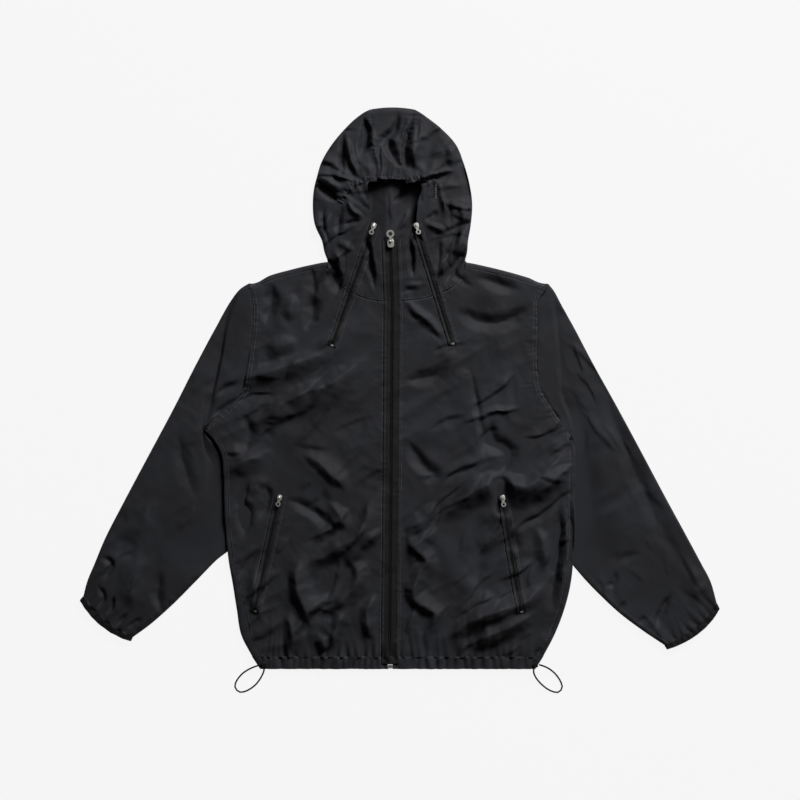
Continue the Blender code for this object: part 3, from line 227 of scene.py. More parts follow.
BRIM_ROW = 6                # from this row up the front edge is the seam with the centre strip
CROWN_RIGHT = (-47.5, 463.7)    # outline at the ends of the centre strip
CROWN_LEFT = (22.9, 463.7)
FOLD_LIMIT = 0.85           # the outline's fold takes up at most this share of the way to the next point
CROWN_BOW = 3.0 * MM        # how much further the outline reaches at its middle
BOW_FROM_Y = 430.0 * MM

# Chin panels: points of the top edge from the centre zip out to the neck zip
CHIN_TOP_RIGHT = [(-19.8, 247), (-29, 258), (-40, 267.5)]
CHIN_TOP_LEFT = [(-11.6, 247), (7, 258), (22, 268.5)]
CHIN_BOTTOM_RIGHT = [(-15.9, 143.6), (-53, 148.5), (-77, 158.2)]
CHIN_BOTTOM_LEFT = [(-7.7, 143.6), (42, 150.5), (59.5, 156.4)]
CHIN_ROWS = 6

# Gathered elastic edge of the face opening, along its middle
BRIM = [
    (-98, 308), (-90, 322), (-80, 333), (-70, 341), (-56, 345.5), (-40, 346.5), (-20, 345.5), (0, 342.5),
    (20, 344), (36, 346.5), (50, 345), (60, 340), (69, 332),
]
BRIM_WIDTH = 9.0 * MM

# Largest soft folds of the fronts, as ridges: ends, full width, height
Fold = namedtuple("Fold", "x0 y0 x1 y1 width height")
FOLDS = [
    Fold(-60, 100, -205, 10, 70, 2.6), Fold(-200, -60, -105, -160, 80, 2.2),
    Fold(-70, -235, -165, -295, 70, 3.0), Fold(-150, -345, -125, -425, 60, 2.4),
    Fold(-60, -395, -95, -330, 55, 2.0), Fold(-190, 150, -200, 80, 50, 2.4),
    Fold(85, 45, 135, -110, 60, 1.8), Fold(262, -120, 160, -205, 75, 3.2),
    Fold(120, -165, 50, -130, 60, 1.8), Fold(225, -345, 95, -420, 75, 3.0),
    Fold(150, 150, 170, 70, 60, 2.2), Fold(60, -250, 110, -330, 60, 2.2),
]

# Zips: ends of the chain, and widths of the tape and of the chain
Zip = namedtuple("Zip", "name top bottom tape coil")
ZIPS = [
    Zip("centre_zip", (-15.6, 246.5), (-16.2, -458), 28, 6.0),
    Zip("neck_zip_right", (-41.3, 272.5), (-112.5, 70), 14, 4.0),
    Zip("neck_zip_left", (26.0, 273.0), (88.5, 73), 14, 4.0),
    Zip("pocket_zip_right", (-198.5, -177.5), (-240.5, -371), 16, 4.0),
    Zip("pocket_zip_left", (170.0, -178.0), (202.0, -371), 16, 4.0),
]

# Drawcord loops at the hem ends: a route given point by point, from the tab and back to it
CORD_DIAMETER = 2.8 * MM
CORD_STEP = 6.5 * MM
CORD_RIGHT = [
    (-230.5, -459.5, 11.4), (-238, -462, 9.6), (-246, -465.5, 5.6), (-255, -470.5, 2.2),
    (-264, -477.5, 1.45), (-272, -488, 1.45), (-274.5, -498, 1.45), (-267, -506.5, 1.45),
    (-254, -504, 1.45), (-241, -495, 1.6), (-232, -483.5, 3.6), (-226.5, -472.5, 8.6),
    (-225, -465.8, 11.4),
]
CORD_LEFT = [
    (231.5, -459.5, 11.4), (240, -462.5, 9.4), (249, -467.5, 5.2), (259, -476, 1.8), (267.5, -488, 1.45),
    (270.5, -499, 1.45), (263.5, -507, 1.45), (249.5, -503.5, 1.45), (236, -493.5, 1.6), (226.5, -482, 3.8),
    (222.5, -472.5, 8.8), (222.5, -465.8, 11.4),
]

# Creases: height, width of the left and the right flank, and path, walking along it
Crease = namedtuple("Crease", "height left right path")
FRONT_CREASES = [
    Crease(4.5, 45, 13, [(-48, 62), (-77, 36), (-112, 10), (-148, -5), (-187, -21), (-226, -50),
        (-252, -73)]),
    Crease(3, 30, 12, [(-109, 62), (-158, 47), (-197, 34), (-242, 16), (-278, -15)]),
    Crease(1.2, 8, 8, [(-92, 21), (-131, -41), (-185, -109)]),
    Crease(2, 25, 10, [(-161, -106), (-119, -138), (-83, -174)]),
    Crease(2, 12, 12, [(-119, -187), (-83, -239)]),
    Crease(3.5, 30, 12, [(-31, -157), (-48, -206), (-61, -235), (-93, -258), (-132, -281),
        (-171, -303)]),
    Crease(3.5, 30, 10, [(-163, -274), (-172, -320), (-159, -365), (-142, -401)]),
    Crease(3.5, 25, 12, [(-88, -277), (-68, -307), (-83, -339), (-116, -365), (-145, -379)]),
    Crease(2.5, 20, 10, [(-187, -371), (-177, -410), (-181, -446)]),
    Crease(2.2, 18, 8, [(-135, -407), (-122, -440)]),
    Crease(-2, 18, 18, [(-262, -41), (-250, -73), (-265, -125)]),
    Crease(2.6, 12, 30, [(-294, -151), (-265, -125), (-236, -115), (-210, -102)]),
    Crease(-1.8, 14, 14, [(-226, -157), (-217, -190), (-236, -222)]),
    Crease(-2, 14, 14, [(-268, -177), (-254, -216), (-265, -255)]),
    Crease(-2.2, 14, 20, [(-210, 176), (-214, 141), (-223, 102)]),
    Crease(-2.2, 14, 16, [(-155, 164), (-144, 128), (-157, 92)]),
    Crease(1.8, 16, 16, [(-179, 160), (-182, 108)]),
    Crease(-2, 12, 12, [(-119, 202), (-109, 180), (-90, 154)]),
    Crease(1.5, 25, 15, [(-168, 82), (-197, 69), (-229, 76)]),
    Crease(3.5, 18, 12, [(-77, -359), (-106, -394), (-112, -436)]),
    Crease(2.2, 12, 9, [(-96, -300), (-60, -262), (-22, -228)]),
    Crease(2.6, 14, 9, [(-150, -262), (-112, -232), (-84, -196)]),
    Crease(-1.8, 9, 9, [(-196, -186), (-160, -196), (-124, -222), (-96, -238)]),
    Crease(2.4, 16, 9, [(-184, -420), (-150, -372), (-108, -338)]),
    Crease(3, 16, 10, [(-38, -339), (-54, -378), (-48, -423)]),
    Crease(1.5, 14, 10, [(-236, -281), (-242, -339), (-223, -397)]),
    Crease(1.8, 9, 9, [(1, 151), (43, 112), (79, 79)]),
    Crease(-0.5, 5, 6, [(2, 134), (40, 105), (76, 73)]),
    Crease(-0.9, 5, 5, [(113, 44), (131, -41), (145, -128)]),
    Crease(-2, 14, 14, [(4, 14), (56, 21), (85, 50)]),
    Crease(-1.5, 12, 12, [(121, 186), (160, 175), (205, 160)]),
    Crease(-2.5, 20, 16, [(89, 131), (141, 108), (186, 115), (225, 142)]),
    Crease(-3, 22, 16, [(157, -47), (148, -86), (179, -109), (163, -151)]),
    Crease(5, 40, 16, [(286, -89), (254, -128), (212, -161), (166, -157), (121, -170), (82, -206),
        (53, -229)]),
    Crease(3, 25, 12, [(286, -125), (251, -157), (218, -190)]),
    Crease(2.2, 14, 14, [(4, -232), (34, -222), (63, -187)]),
    Crease(2, 12, 12, [(4, -274), (34, -255), (69, -229)]),
    Crease(-2, 12, 12, [(11, -86), (30, -119), (59, -145), (30, -154)]),
    Crease(-1.9, 5, 15, [(268, -180), (264, -230), (260, -281), (256, -330), (250, -385)]),
    Crease(3, 8, 8, [(275, -190), (275, -281), (264, -365)]),
    Crease(-2, 5, 6, [(284, -183), (284, -268), (273, -339)]),
    Crease(5, 35, 14, [(251, -321), (199, -357), (147, -375), (108, -392), (72, -423)]),
    Crease(4, 25, 12, [(238, -365), (186, -394), (134, -417), (95, -436)]),
    Crease(3, 25, 10, [(22, -216), (17, -255), (45, -284), (30, -313), (22, -346), (58, -378),
        (45, -414), (50, -443)]),
    Crease(-1.2, 25, 25, [(121, -248), (134, -281), (124, -346)]),
    Crease(-1.5, 12, 12, [(186, -229), (196, -281)]),
    Crease(2, 14, 12, [(225, -229), (241, -268), (238, -307)]),
]
HOOD_CREASES = [
    Crease(-4, 8, 8, [(-94, 430), (-96, 391), (-96, 346)]),
    Crease(4, 7, 7, [(-90, 419), (-79, 380), (-66, 346)]),
    Crease(-7, 14, 10, [(-60, 453), (-58, 414), (-67, 380)]),
    Crease(3, 12, 12, [(-47, 437), (-42, 391), (-33, 355)]),
    Crease(-6, 14, 10, [(0, 462), (-11, 430), (-24, 412), (-11, 385), (3, 362)]),
    Crease(-5, 10, 8, [(23, 450), (12, 414), (8, 380), (12, 357)]),
    Crease(4, 14, 14, [(30, 437), (22, 403), (27, 373), (42, 359)]),
    Crease(-4, 8, 6, [(91, 359), (57, 348), (28, 339)]),
    Crease(3, 10, 7, [(91, 364), (57, 354), (30, 346)]),
    Crease(-5, 9, 12, [(-139, 348), (-117, 323), (-103, 303)]),
    Crease(3, 6, 6, [(-88, 314), (-79, 296), (-60, 280)]),
    Crease(-2.5, 6, 6, [(-97, 305), (-99, 278), (-103, 246)]),
    Crease(-2.5, 6, 6, [(-122, 305), (-128, 278), (-115, 235)]),
    Crease(2.5, 7, 7, [(-115, 294), (-124, 265), (-120, 242)]),
    Crease(2.5, 7, 7, [(64, 337), (71, 310), (82, 256)]),
    Crease(-3, 8, 8, [(87, 314), (78, 290), (82, 265)]),
    Crease(2.5, 7, 7, [(103, 310), (106, 287), (94, 269)]),
    Crease(-4, 8, 10, [(100, 391), (112, 346), (114, 290)]),
    Crease(2.5, 10, 10, [(80, 407), (87, 385), (87, 364)]),
    Crease(5, 8, 8, [(119, 278), (98, 244), (75, 199), (57, 165)]),
    Crease(-5, 6, 9, [(103, 271), (87, 233), (71, 203)]),
    Crease(-5, 7, 9, [(111, 242), (98, 210), (75, 169)]),
    Crease(-5, 7, 8, [(-55, 271), (-51, 222), (-40, 158)]),
    Crease(-5, 6, 8, [(17, 251), (20, 215), (22, 181)]),
    Crease(1.2, 8, 8, [(3, 175), (23, 169), (46, 175)]),
    Crease(-0.8, 6, 6, [(-2, 158), (17, 164), (32, 164)]),
    Crease(2.2, 7, 7, [(-103, 244), (-88, 235), (-74, 228)]),
    Crease(-2.5, 7, 7, [(66, 256), (64, 222), (60, 185)]),
    Crease(-2.5, 6, 6, [(-94, 271), (-79, 274), (-63, 278)]),
    Crease(2.5, 7, 9, [(42, 274), (60, 267), (80, 256)]),
    Crease(-2.5, 5, 6, [(42, 278), (55, 285), (64, 296)]),
    Crease(3, 9, 9, [(112, 260), (103, 235), (91, 206)]),
    Crease(3, 9, 9, [(-106, 233), (-101, 210), (-94, 181)]),
    Crease(-3, 8, 8, [(-124, 215), (-110, 201), (-101, 190)]),
]
HOOD_INSIDE_CREASES = [
    Crease(-2.2, 7, 4, [(13, 338), (1, 322), (-10, 306)]),
    Crease(1.2, 5, 5, [(-14, 335), (-12, 300), (-16, 262)]),
    Crease(1.6, 9, 6, [(14, 300), (8, 280), (-4, 262)]),
]
RIGHT_SLEEVE_CREASES = [
    Crease(-2.5, 8, 8, [(-268, 10), (-287, 1), (-306, -11)]),
    Crease(-3, 9, 9, [(-268, -13), (-291, -33), (-311, -53)]),
    Crease(-1.6, 20, 20, [(-364, -70), (-364, -112), (-352, -153), (-335, -187)]),
    Crease(2.5, 30, 30, [(-433, -262), (-443, -320), (-445, -383)]),
    Crease(-2.5, 14, 14, [(-398, -299), (-402, -345), (-395, -378)]),
    Crease(-2.4, 9, 9, [(-502, -278), (-479, -293), (-495, -320)]),
    Crease(-2.4, 7, 7, [(-506, -330), (-492, -346), (-504, -366)]),
    Crease(-2.6, 6, 6, [(-475, -343), (-479, -362), (-489, -378)]),
    Crease(-2, 6, 6, [(-452, -373), (-462, -383), (-473, -397)]),
    Crease(-1.8, 6, 6, [(-424, -383), (-441, -392), (-456, -403)]),
    Crease(-1.4, 25, 25, [(-452, -237), (-462, -270), (-475, -291)]),
    Crease(1.6, 20, 30, [(-404, -178), (-425, -220), (-437, -262)]),
    Crease(-1.2, 18, 18, [(-358, -303), (-333, -274), (-325, -237)]),
]
LEFT_SLEEVE_CREASES = [
    Crease(-1.8, 22, 22, [(330, 34), (363, -70), (413, -187), (459, -278), (492, -320)]),
    Crease(-2.2, 8, 8, [(360, -299), (355, -326), (335, -330)]),
    Crease(-3.2, 8, 10, [(453, -337), (436, -374), (425, -408)]),
    Crease(-1.2, 12, 12, [(325, -282), (363, -285), (405, -273)]),
    Crease(-1.6, 6, 6, [(376, -355), (365, -370), (357, -374)]),
    Crease(2, 25, 25, [(475, -291), (492, -328), (498, -362)]),
    Crease(-1.4, 7, 7, [(409, -378), (400, -389), (390, -392)]),
    Crease(-2, 10, 10, [(234, 1), (246, -37), (271, -70)]),
    Crease(1.5, 20, 20, [(300, -112), (309, -195), (321, -258)]),
]

# Fronts' creases as built: how much taller than listed, and how far their narrow flanks are widened
CREASE_LIFT = 1.6
FLANK_WIDENING = 1.5
WIDENED_LEFT, WIDENED_RIGHT = 16, 20    # widening stops at these widths

# Small creases strewn between the others
LIT_SIDE = (0.5, 0.87)      # plan direction that their gentle flanks face
CENTRE_STRIP = (-14, 12)    # middle and half width of the strip by the front zip that they stay out of
LEAN_SPREAD = 16            # degrees
HALF_LENGTH = (3.45, 0.45)  # mean and spread of the natural logarithm of half their length
LONGEST_HALF = 80.0
FULL_HEIGHT_HALF = 30       # half length from which one has its full height
STEEP_FLANK = (3.5, 7.0)
GENTLE_FLANK = (10.0, 26.0)
TROUGH_SHARE = 0.3
NECK_Y = 140                # those of the fronts stay below this


def raised(crease):
    """A crease of the fronts at its built height, with its narrow flanks widened."""
    left = max(crease.left, min(WIDENED_LEFT, crease.left * FLANK_WIDENING))
    right = max(crease.right, min(WIDENED_RIGHT, crease.right * FLANK_WIDENING))
    return crease._replace(height=crease.height * CREASE_LIFT, left=left, right=right)


def in_chin(x, y):
    """Whether a place is on the chin panels, which lie smooth."""
    return abs(x + 14) < 62 and 130 < y < 275


def strewn(count, box, lean, tall, seed):
    """Small creases scattered over a box, leaning by an angle that depends on the place."""
    draw = random.Random(seed)
    result = []
    for _ in range(count):
        x = draw.uniform(box[0], box[2])
        y = draw.uniform(box[1], box[3])
        angle = math.radians(lean(x, y) + draw.gauss(0, LEAN_SPREAD))
        half = min(draw.lognormvariate(*HALF_LENGTH), LONGEST_HALF)
        kept_out = CENTRE_STRIP[1] + half * abs(math.cos(angle))
        if abs(x - CENTRE_STRIP[0]) < kept_out or in_chin(x, y):
            continue
        bend = half * draw.uniform(-0.25, 0.25)
        along = (math.cos(angle) * half, math.sin(angle) * half)
        middle = (x - along[1] / half * bend, y + along[0] / half * bend)
        height = draw.uniform(0.35, 1.0) * tall * min(half / FULL_HEIGHT_HALF, 1.5)
        steep = draw.uniform(*STEEP_FLANK)
        gentle = draw.uniform(*GENTLE_FLANK)
        lit_on_left = LIT_SIDE[1] * math.cos(angle) - LIT_SIDE[0] * math.sin(angle) > 0
        if draw.random() < TROUGH_SHARE:
            height = -height
            lit_on_left = not lit_on_left
        left, right = (gentle, steep) if lit_on_left else (steep, gentle)
        path = [(x - along[0], y - along[1]), middle, (x + along[0], y + along[1])]
        result.append(Crease(height, left, right, path))
    return result


def body_lean(x, y):
    """Lean of the fronts' small creases: rising to the right above, steeper and mixed towards the hem."""
    low = min(max((-150 - y) / 250, 0.0), 1.0)
    return 30 + 22 * low + (12 if x > 0 else 0) * math.sin(y / 60)


def hood_lean(x, y):
    """Lean of the hood's small creases: pleats that fan out from the face opening."""
    return math.degrees(math.atan2(y - 285, x + 14)) + (25 if y < 285 else 0)


FRONT_CREASES = [raised(crease) for crease in FRONT_CREASES]
FRONT_CREASES += [crease for crease in strewn(125, (-290, -440, 285, 190), body_lean, 1.7, 5)
                  if crease.path[1][1] < NECK_Y]
HOOD_CREASES += strewn(90, (-150, 165, 125, 450), hood_lean, 1.8, 6)
RIGHT_SLEEVE_CREASES += strewn(45, (-520, -400, -270, 140), lambda x, y: 62, 0.9, 7)
LEFT_SLEEVE_CREASES += strewn(45, (265, -420, 520, 140), lambda x, y: -62, 0.9, 8)

# Seams: depth of the groove, height and reach of the puckers beside it, and their spacing
Seam = namedtuple("Seam", "groove pucker reach spacing path")
ARMHOLE_RIGHT = [(row.x, row.y) for row in RIGHT_SIDE[ARMPIT_ROW:]]
ARMHOLE_LEFT = [(row.x, row.y) for row in LEFT_SIDE[ARMPIT_ROW:]]
SIDE_RIGHT = [(row.x + row.wrap, row.y) for row in RIGHT_SIDE[:ARMPIT_ROW]]
SIDE_LEFT = [(row.x - row.wrap, row.y) for row in LEFT_SIDE[:ARMPIT_ROW]]
BODY_SEAMS = [
    Seam(0.9, 1.3, 8, 4.0, ARMHOLE_RIGHT), Seam(0.9, 1.8, 10, 5.0, ARMHOLE_LEFT),
    Seam(0.4, 0.7, 7, 5.0, SIDE_RIGHT), Seam(0.4, 0.9, 9, 5.5, SIDE_LEFT),
    Seam(0.3, 0.6, 7, 4.5, [(x, y - 8) for x, y in SHOULDER_RIGHT]),
    Seam(0.3, 0.6, 7, 4.5, [(x, y - 8) for x, y in SHOULDER_LEFT]),
    Seam(0.4, 1.3, 9, 4.5, [(-18, 143)] + NECK_SEAM_RIGHT + [(-119, 200)]),
    Seam(0.4, 1.3, 9, 4.5, [(-8, 143)] + NECK_SEAM_LEFT + [(108, 199)]),
    Seam(0.0, 5.2, 26, 9.5, [(-232, -448), (0, -448), (226, -448)]),
    Seam(0.3, 0.7, 6, 5.0, [(-30, -450), (-28, -150), (-26, 140)]),
    Seam(0.3, 0.7, 6, 5.0, [(-2, -450), (0, -150), (2, 140)]),
    Seam(0.0, 3.6, 26, 9.0, BRIM), Seam(0.0, 2.2, 9, 4.8, BRIM),
    Seam(0.4, 1.3, 9, 5.0, [(-39, 352), (-40, 376), (-44.5, 405), (-46, 440), (-47, 458)]),
    Seam(0.4, 1.3, 9, 5.0, [(4, 352), (4.5, 376), (10, 405), (17, 430), (22, 458)]),
    Seam(0.2, 0.8, 8, 5.0, [(-49, 268), (-80, 165), (-119, 76)]),
    Seam(0.2, 0.8, 8, 5.0, [(34, 268), (64, 165), (95, 76)]),
    Seam(0.2, 0.6, 7, 5.0, [(-208, -180), (-250, -371)]),
    Seam(0.2, 0.6, 7, 5.0, [(-189, -180), (-231, -371)]),
    Seam(0.2, 0.6, 7, 5.0, [(161, -180), (193, -371)]),
    Seam(0.2, 0.6, 7, 5.0, [(179, -180), (211, -371)]),
]
RIGHT_SLEEVE_SEAMS = [
    Seam(0.4, 0.7, 8, 5.0, ARMHOLE_RIGHT),
    Seam(0.3, 3.2, 22, 11.0, [(-526.5, -347), (-504, -375), (-476, -398), (-445, -415)]),
    Seam(0.0, 1.4, 9, 9.0, [
        (-278, -167), (-270, -213), (-273, -257), (-308, -289), (-381, -363), (-445, -415)]),
]
LEFT_SLEEVE_SEAMS = [
    Seam(0.4, 0.8, 8, 5.0, ARMHOLE_LEFT),
    Seam(0.3, 2.6, 18, 9.0, [(527.5, -358.5), (504, -389), (475, -411), (441, -428)]),
    Seam(0.0, 1.4, 9, 9.0, [(270, -182), (262, -220), (295, -303), (370, -378), (441, -428)]),
]

# Where a sleeve's head is folded over the rest of the sleeve: the drop on the path's left
Step = namedtuple("Step", "drop reach path")
RIGHT_SLEEVE_STEPS = [Step(6.0, 30, [
    (-329, -70), (-314, -49), (-306, -8), (-295, 43), (-281, 118), (-258, 168)])]
LEFT_SLEEVE_STEPS = [Step(4.2, 26, [(250, 166), (259, 76), (265, -8), (278, -45), (290, -90)])]


# Seam allowances inside the jacket: plan points, half width and height
Allowance = namedtuple("Allowance", "name path half height")
ALLOWANCES = [
    Allowance("armhole_allowance_right", [(row.x, row.y) for row in RIGHT_SIDE[7:]], 7.5, 2.2),
    Allowance("armhole_allowance_left", [(row.x, row.y) for row in LEFT_SIDE[7:]], 7.5, 2.2),
    Allowance("side_allowance_right", SIDE_RIGHT, 4.0, 3.0),
    Allowance("side_allowance_left", SIDE_LEFT, 4.0, 3.0),
    Allowance("shoulder_tip_allowance_right", [(-246, 158), (-250.5, 173.5)], 3.0, 4.0),
    Allowance("shoulder_tip_allowance_left", [(241.5, 158), (246, 173)], 3.0, 4.0),
    Allowance("neck_allowance_right", [(-110, 216), (-124, 198)], 4.0, 2.0),
    Allowance("neck_allowance_left", [(101, 216), (115, 198)], 4.0, 2.0),
    Allowance("hood_tape_right", [(-48, 352), (-48.5, 300), (-49, 245)], 3.2, 1.3),
    Allowance("hood_tape_left", [(25.5, 352), (25.5, 300), (26, 245)], 3.2, 2.3),
]

# Topstitching: path, and how far to its left each row of stitches runs
TOPSTITCHED = [
    (ARMHOLE_RIGHT, (-2.2, -7.0)), (ARMHOLE_LEFT, (2.2, 7.0)),
    ([(x, y - 8) for x, y in SHOULDER_RIGHT], (1.8, -1.8)),
    ([(x, y - 8) for x, y in SHOULDER_LEFT], (-1.8, 1.8)),
    ([(-18, 143)] + NECK_SEAM_RIGHT + [(-119, 198)], (2.0, -2.0)),
    ([(-8, 143)] + NECK_SEAM_LEFT + [(108, 197)], (-2.0, 2.0)),
    (SIDE_RIGHT, (-2.0,)), (SIDE_LEFT, (2.0,)),
]
HOOD_TACKS = ((60, 337), (60, 313))     # ends of the short row of tacks beside the face opening


# Small mathematics --------------------------------------------------------------------------------
def plan(point):
    """A table's plan point in millimetres as a 2-D vector in metres."""
    return Vector((point[0], point[1])) * MM


def mix(start, end, share):
    """Place or number at a share of the way from one to another."""
    return start + (end - start) * share


def ease(share):
    """A share, clipped to 0 to 1 and eased at both ends."""
    share = min(1.0, max(0.0, share))
    return share * share * (3.0 - 2.0 * share)


def polyline(points, share):
    """Point at a share of a list of points, counted evenly by index."""
    place = share * (len(points) - 1)
    index = min(int(place), len(points) - 2)
    return mix(points[index], points[index + 1], place - index)


def cubic(points, share):
    """Point on the smooth curve through four points, at a share of its length."""
    knots = [0.0, 1.0 / 3.0, 2.0 / 3.0, 1.0]
    total = points[0] * 0.0
    for i, point in enumerate(points):
        weight = 1.0
        for j, knot in enumerate(knots):
            if i != j:
                weight *= (share - knot) / (knots[i] - knot)
        total = total + point * weight
    return total


def through(points, step):
    """Evenly stepped points on a Catmull-Rom curve through a route."""
    ends = [points[0] * 2 - points[1]] + points + [points[-1] * 2 - points[-2]]
    dense = []
    for a, b, c, d in zip(ends, ends[1:], ends[2:], ends[3:]):
        for k in range(20):
            t = k / 20
            dense.append(0.5 * (2 * b + (c - a) * t + (2 * a - 5 * b + 4 * c - d) * t * t
                                + (3 * b - 3 * c + d - a) * t ** 3))
    dense.append(points[-1])
    lengths = [0.0]
    for a, b in zip(dense, dense[1:]):
        lengths.append(lengths[-1] + (b - a).length)
    count = max(2, round(lengths[-1] / step))
    picked = []
    index = 0
    for k in range(count + 1):
        wanted = lengths[-1] * k / count
        while index < len(dense) - 2 and lengths[index + 1] < wanted:
            index += 1
        span = lengths[index + 1] - lengths[index]
        picked.append(mix(dense[index], dense[index + 1], (wanted - lengths[index]) / span))
    return picked


def centre_x(y):
    """Middle of the front zip at a height up the jacket."""
    index = sum(point.y * MM < y for point in CENTRE_LINE[1:-1])
    low, high = CENTRE_LINE[index:index + 2]
    return mix(low.x, high.x, (y / MM - low.y) / (high.y - low.y)) * MM


def plain_height(x, y):
    """Mid-surface height of the fronts and the hood's upper layer without relief, for numbers or arrays."""
    away = ((x - SWELL_CENTRE.x) / SWELL_REACH.x) ** 2
    away += ((y - SWELL_CENTRE.y) / SWELL_REACH.y) ** 2
    return FRONT_RISE + HOOD_SWELL * np.maximum(0.0, 1.0 - away) ** 2


def front_height(point):
    """Mid-surface height of the fronts and the hood's upper layer at a plan point."""
    return float(plain_height(point.x, point.y))


def at_height(point, z):
    """Plan point as a 3-D one."""
    return Vector((point.x, point.y, z))


def folded_edge(edge, inward, low, high, share=1.0, inward_above=None):
    """Mid-surface points round a folded edge, from the lower layer over to the upper one."""
    middle = (low + high) / 2
    half = (high - low) / 2
    points = []
    for step in range(FOLD_POINTS):
        angle = math.pi * (step / (FOLD_POINTS - 1) - 0.5)
        way = inward_above if inward_above is not None and angle > 0.1 else inward
        width = min(half * ROLL, way.length)
        place = edge + way.normalized() * width * (1.0 - math.cos(angle))
        points.append(at_height(place, middle + half * share * math.sin(angle)))
    return points


# Relief of the cloth ------------------------------------------------------------------------------
def grain(x, y, seed):
    """Smooth gradient noise, about -1 to 1, on a grid of one unit."""
    column = np.floor(x).astype(np.int64)
    row = np.floor(y).astype(np.int64)
    u = x - column
    v = y - row
    fade_u = u * u * u * (u * (u * 6 - 15) + 10)
    fade_v = v * v * v * (v * (v * 6 - 15) + 10)

    def corner(i, j):
        mixed = ((column + i) * 73856093) ^ ((row + j) * 19349663) ^ (seed * 83492791)
        mixed = (mixed ^ (mixed >> 13)) * 1274126177
        angle = (mixed & 0xFFFF) * (2 * math.pi / 65536)
        return np.cos(angle) * (u - i) + np.sin(angle) * (v - j)

    low = corner(0, 0) + (corner(1, 0) - corner(0, 0)) * fade_u
    high = corner(0, 1) + (corner(1, 1) - corner(0, 1)) * fade_u
    return (low + (high - low) * fade_v) * 1.5


def smooth(share):
    """Array of shares, clipped to 0 to 1 and eased at both ends."""
    share = np.clip(share, 0.0, 1.0)
    return share * share * (3.0 - 2.0 * share)


def curved(points, step=6.0):
    """A table's path as evenly spaced points in metres."""
    if len(points) == 2:
        return np.array([plan(points[0])[:], plan(points[1])[:]])
    return np.array([point[:] for point in through([plan(point) for point in points], step * MM)])


def measure(xy, path):
    """Distance from a path, whether on its left, and how far along, for many plan points."""
    best = np.full(len(xy), np.inf)
    left = np.zeros(len(xy), bool)
    along = np.zeros(len(xy))
    start = 0.0
    for a, b in zip(path, path[1:]):
        way = b - a
        length = math.hypot(*way)
        rel = xy - a
        share = np.clip(rel @ way / length ** 2, 0.0, 1.0)
        off = rel - share[:, None] * way
        distance = np.hypot(off[:, 0], off[:, 1])
        closer = distance < best
        best = np.where(closer, distance, best)
        left = np.where(closer, way[0] * rel[:, 1] - way[1] * rel[:, 0] > 0, left)
        along = np.where(closer, start + share * length, along)
        start += length
    return best, left, along, start


def near(xy, path, reach):
    """Indices of the plan points inside a path's box, widened by a reach."""
    low = path.min(axis=0) - reach
    high = path.max(axis=0) + reach
    return np.nonzero(((xy > low) & (xy < high)).all(axis=1))[0]


def creases(xy, table):
    """Height of soft ridges and troughs, each steeper on one side and fading at its ends."""
    total = np.zeros(len(xy))
    x, y = xy[:, 0], xy[:, 1]
    shift = []
    for seed in (81, 83):
        shift.append(3.0 * grain(x / 0.032, y / 0.032, seed) + 1.3 * grain(x / 0.012, y / 0.012, seed + 1))
    xy = xy + np.stack(shift, axis=1) * MM
    for index, crease in enumerate(table):
        path = curved(crease.path)
        picked = near(xy, path, max(crease.left, crease.right) * MM)
        if not len(picked):
            continue
        distance, left, along, length = measure(xy[picked], path)
        ends = smooth(np.minimum(along, length - along) / (CREASE_END * length))
        width = np.where(left, crease.left, crease.right) * MM * (0.4 + 0.6 * ends)
        rounded = np.clip((np.hypot(distance, CREST) - CREST) / width, 0.0, 1.0)
        wander = 1.0 + 0.3 * grain(along / 0.03, along * 0 + index, 5)
        total[picked] += CREASE_GAIN * crease.height * MM * (1 - rounded) ** 2 * (1 + rounded) * ends * wander
    return total


def gathers(xy, table):
    """Seam grooves with the ripples that a drawn thread or elastic makes beside them."""
    total = np.zeros(len(xy))
    for index, seam in enumerate(table):
        path = curved(seam.path)
        picked = near(xy, path, seam.reach * MM * 4)
        if not len(picked):
            continue
        distance, left, along, length = measure(xy[picked], path)
        beyond = (along <= 0) | (along >= length)
        number = along / (seam.spacing * MM)
        side = np.where(left, 17.3, 0.0)
        lean = distance / (seam.spacing * MM) * 0.35 * grain(number * 0.2 + side, number * 0, index + 40)
        wave = grain(number + lean + side, distance / (seam.reach * MM * 2), index + 9)
        reach = seam.reach * MM * (1.0 + 0.8 * grain(number * 0.37 + side, number * 0, index + 23))
        fall = np.exp(-distance / np.maximum(reach, 1 * MM))
        height = seam.pucker * MM * wave * fall - seam.groove * MM * np.exp(-(distance / GROOVE_WIDTH) ** 2)
        total[picked] += np.where(beyond, 0.0, height)
    return total


def steps(xy, table):
    """Folds where the cloth on a path's left drops below the cloth on its right, and rises back."""
    total = np.zeros(len(xy))
    for step in table:
        path = curved(step.path)
        picked = near(xy, path, step.reach * MM * 3)
        if not len(picked):
            continue
        distance, left, along, length = measure(xy[picked], path)
        ends = smooth(np.minimum(along, length - along) / (0.2 * length))
        low = smooth(distance / (6.0 * MM)) * np.exp(-distance / (step.reach * MM))
        total[picked] -= np.where(left, step.drop * MM * low * ends, 0.0)
    return total


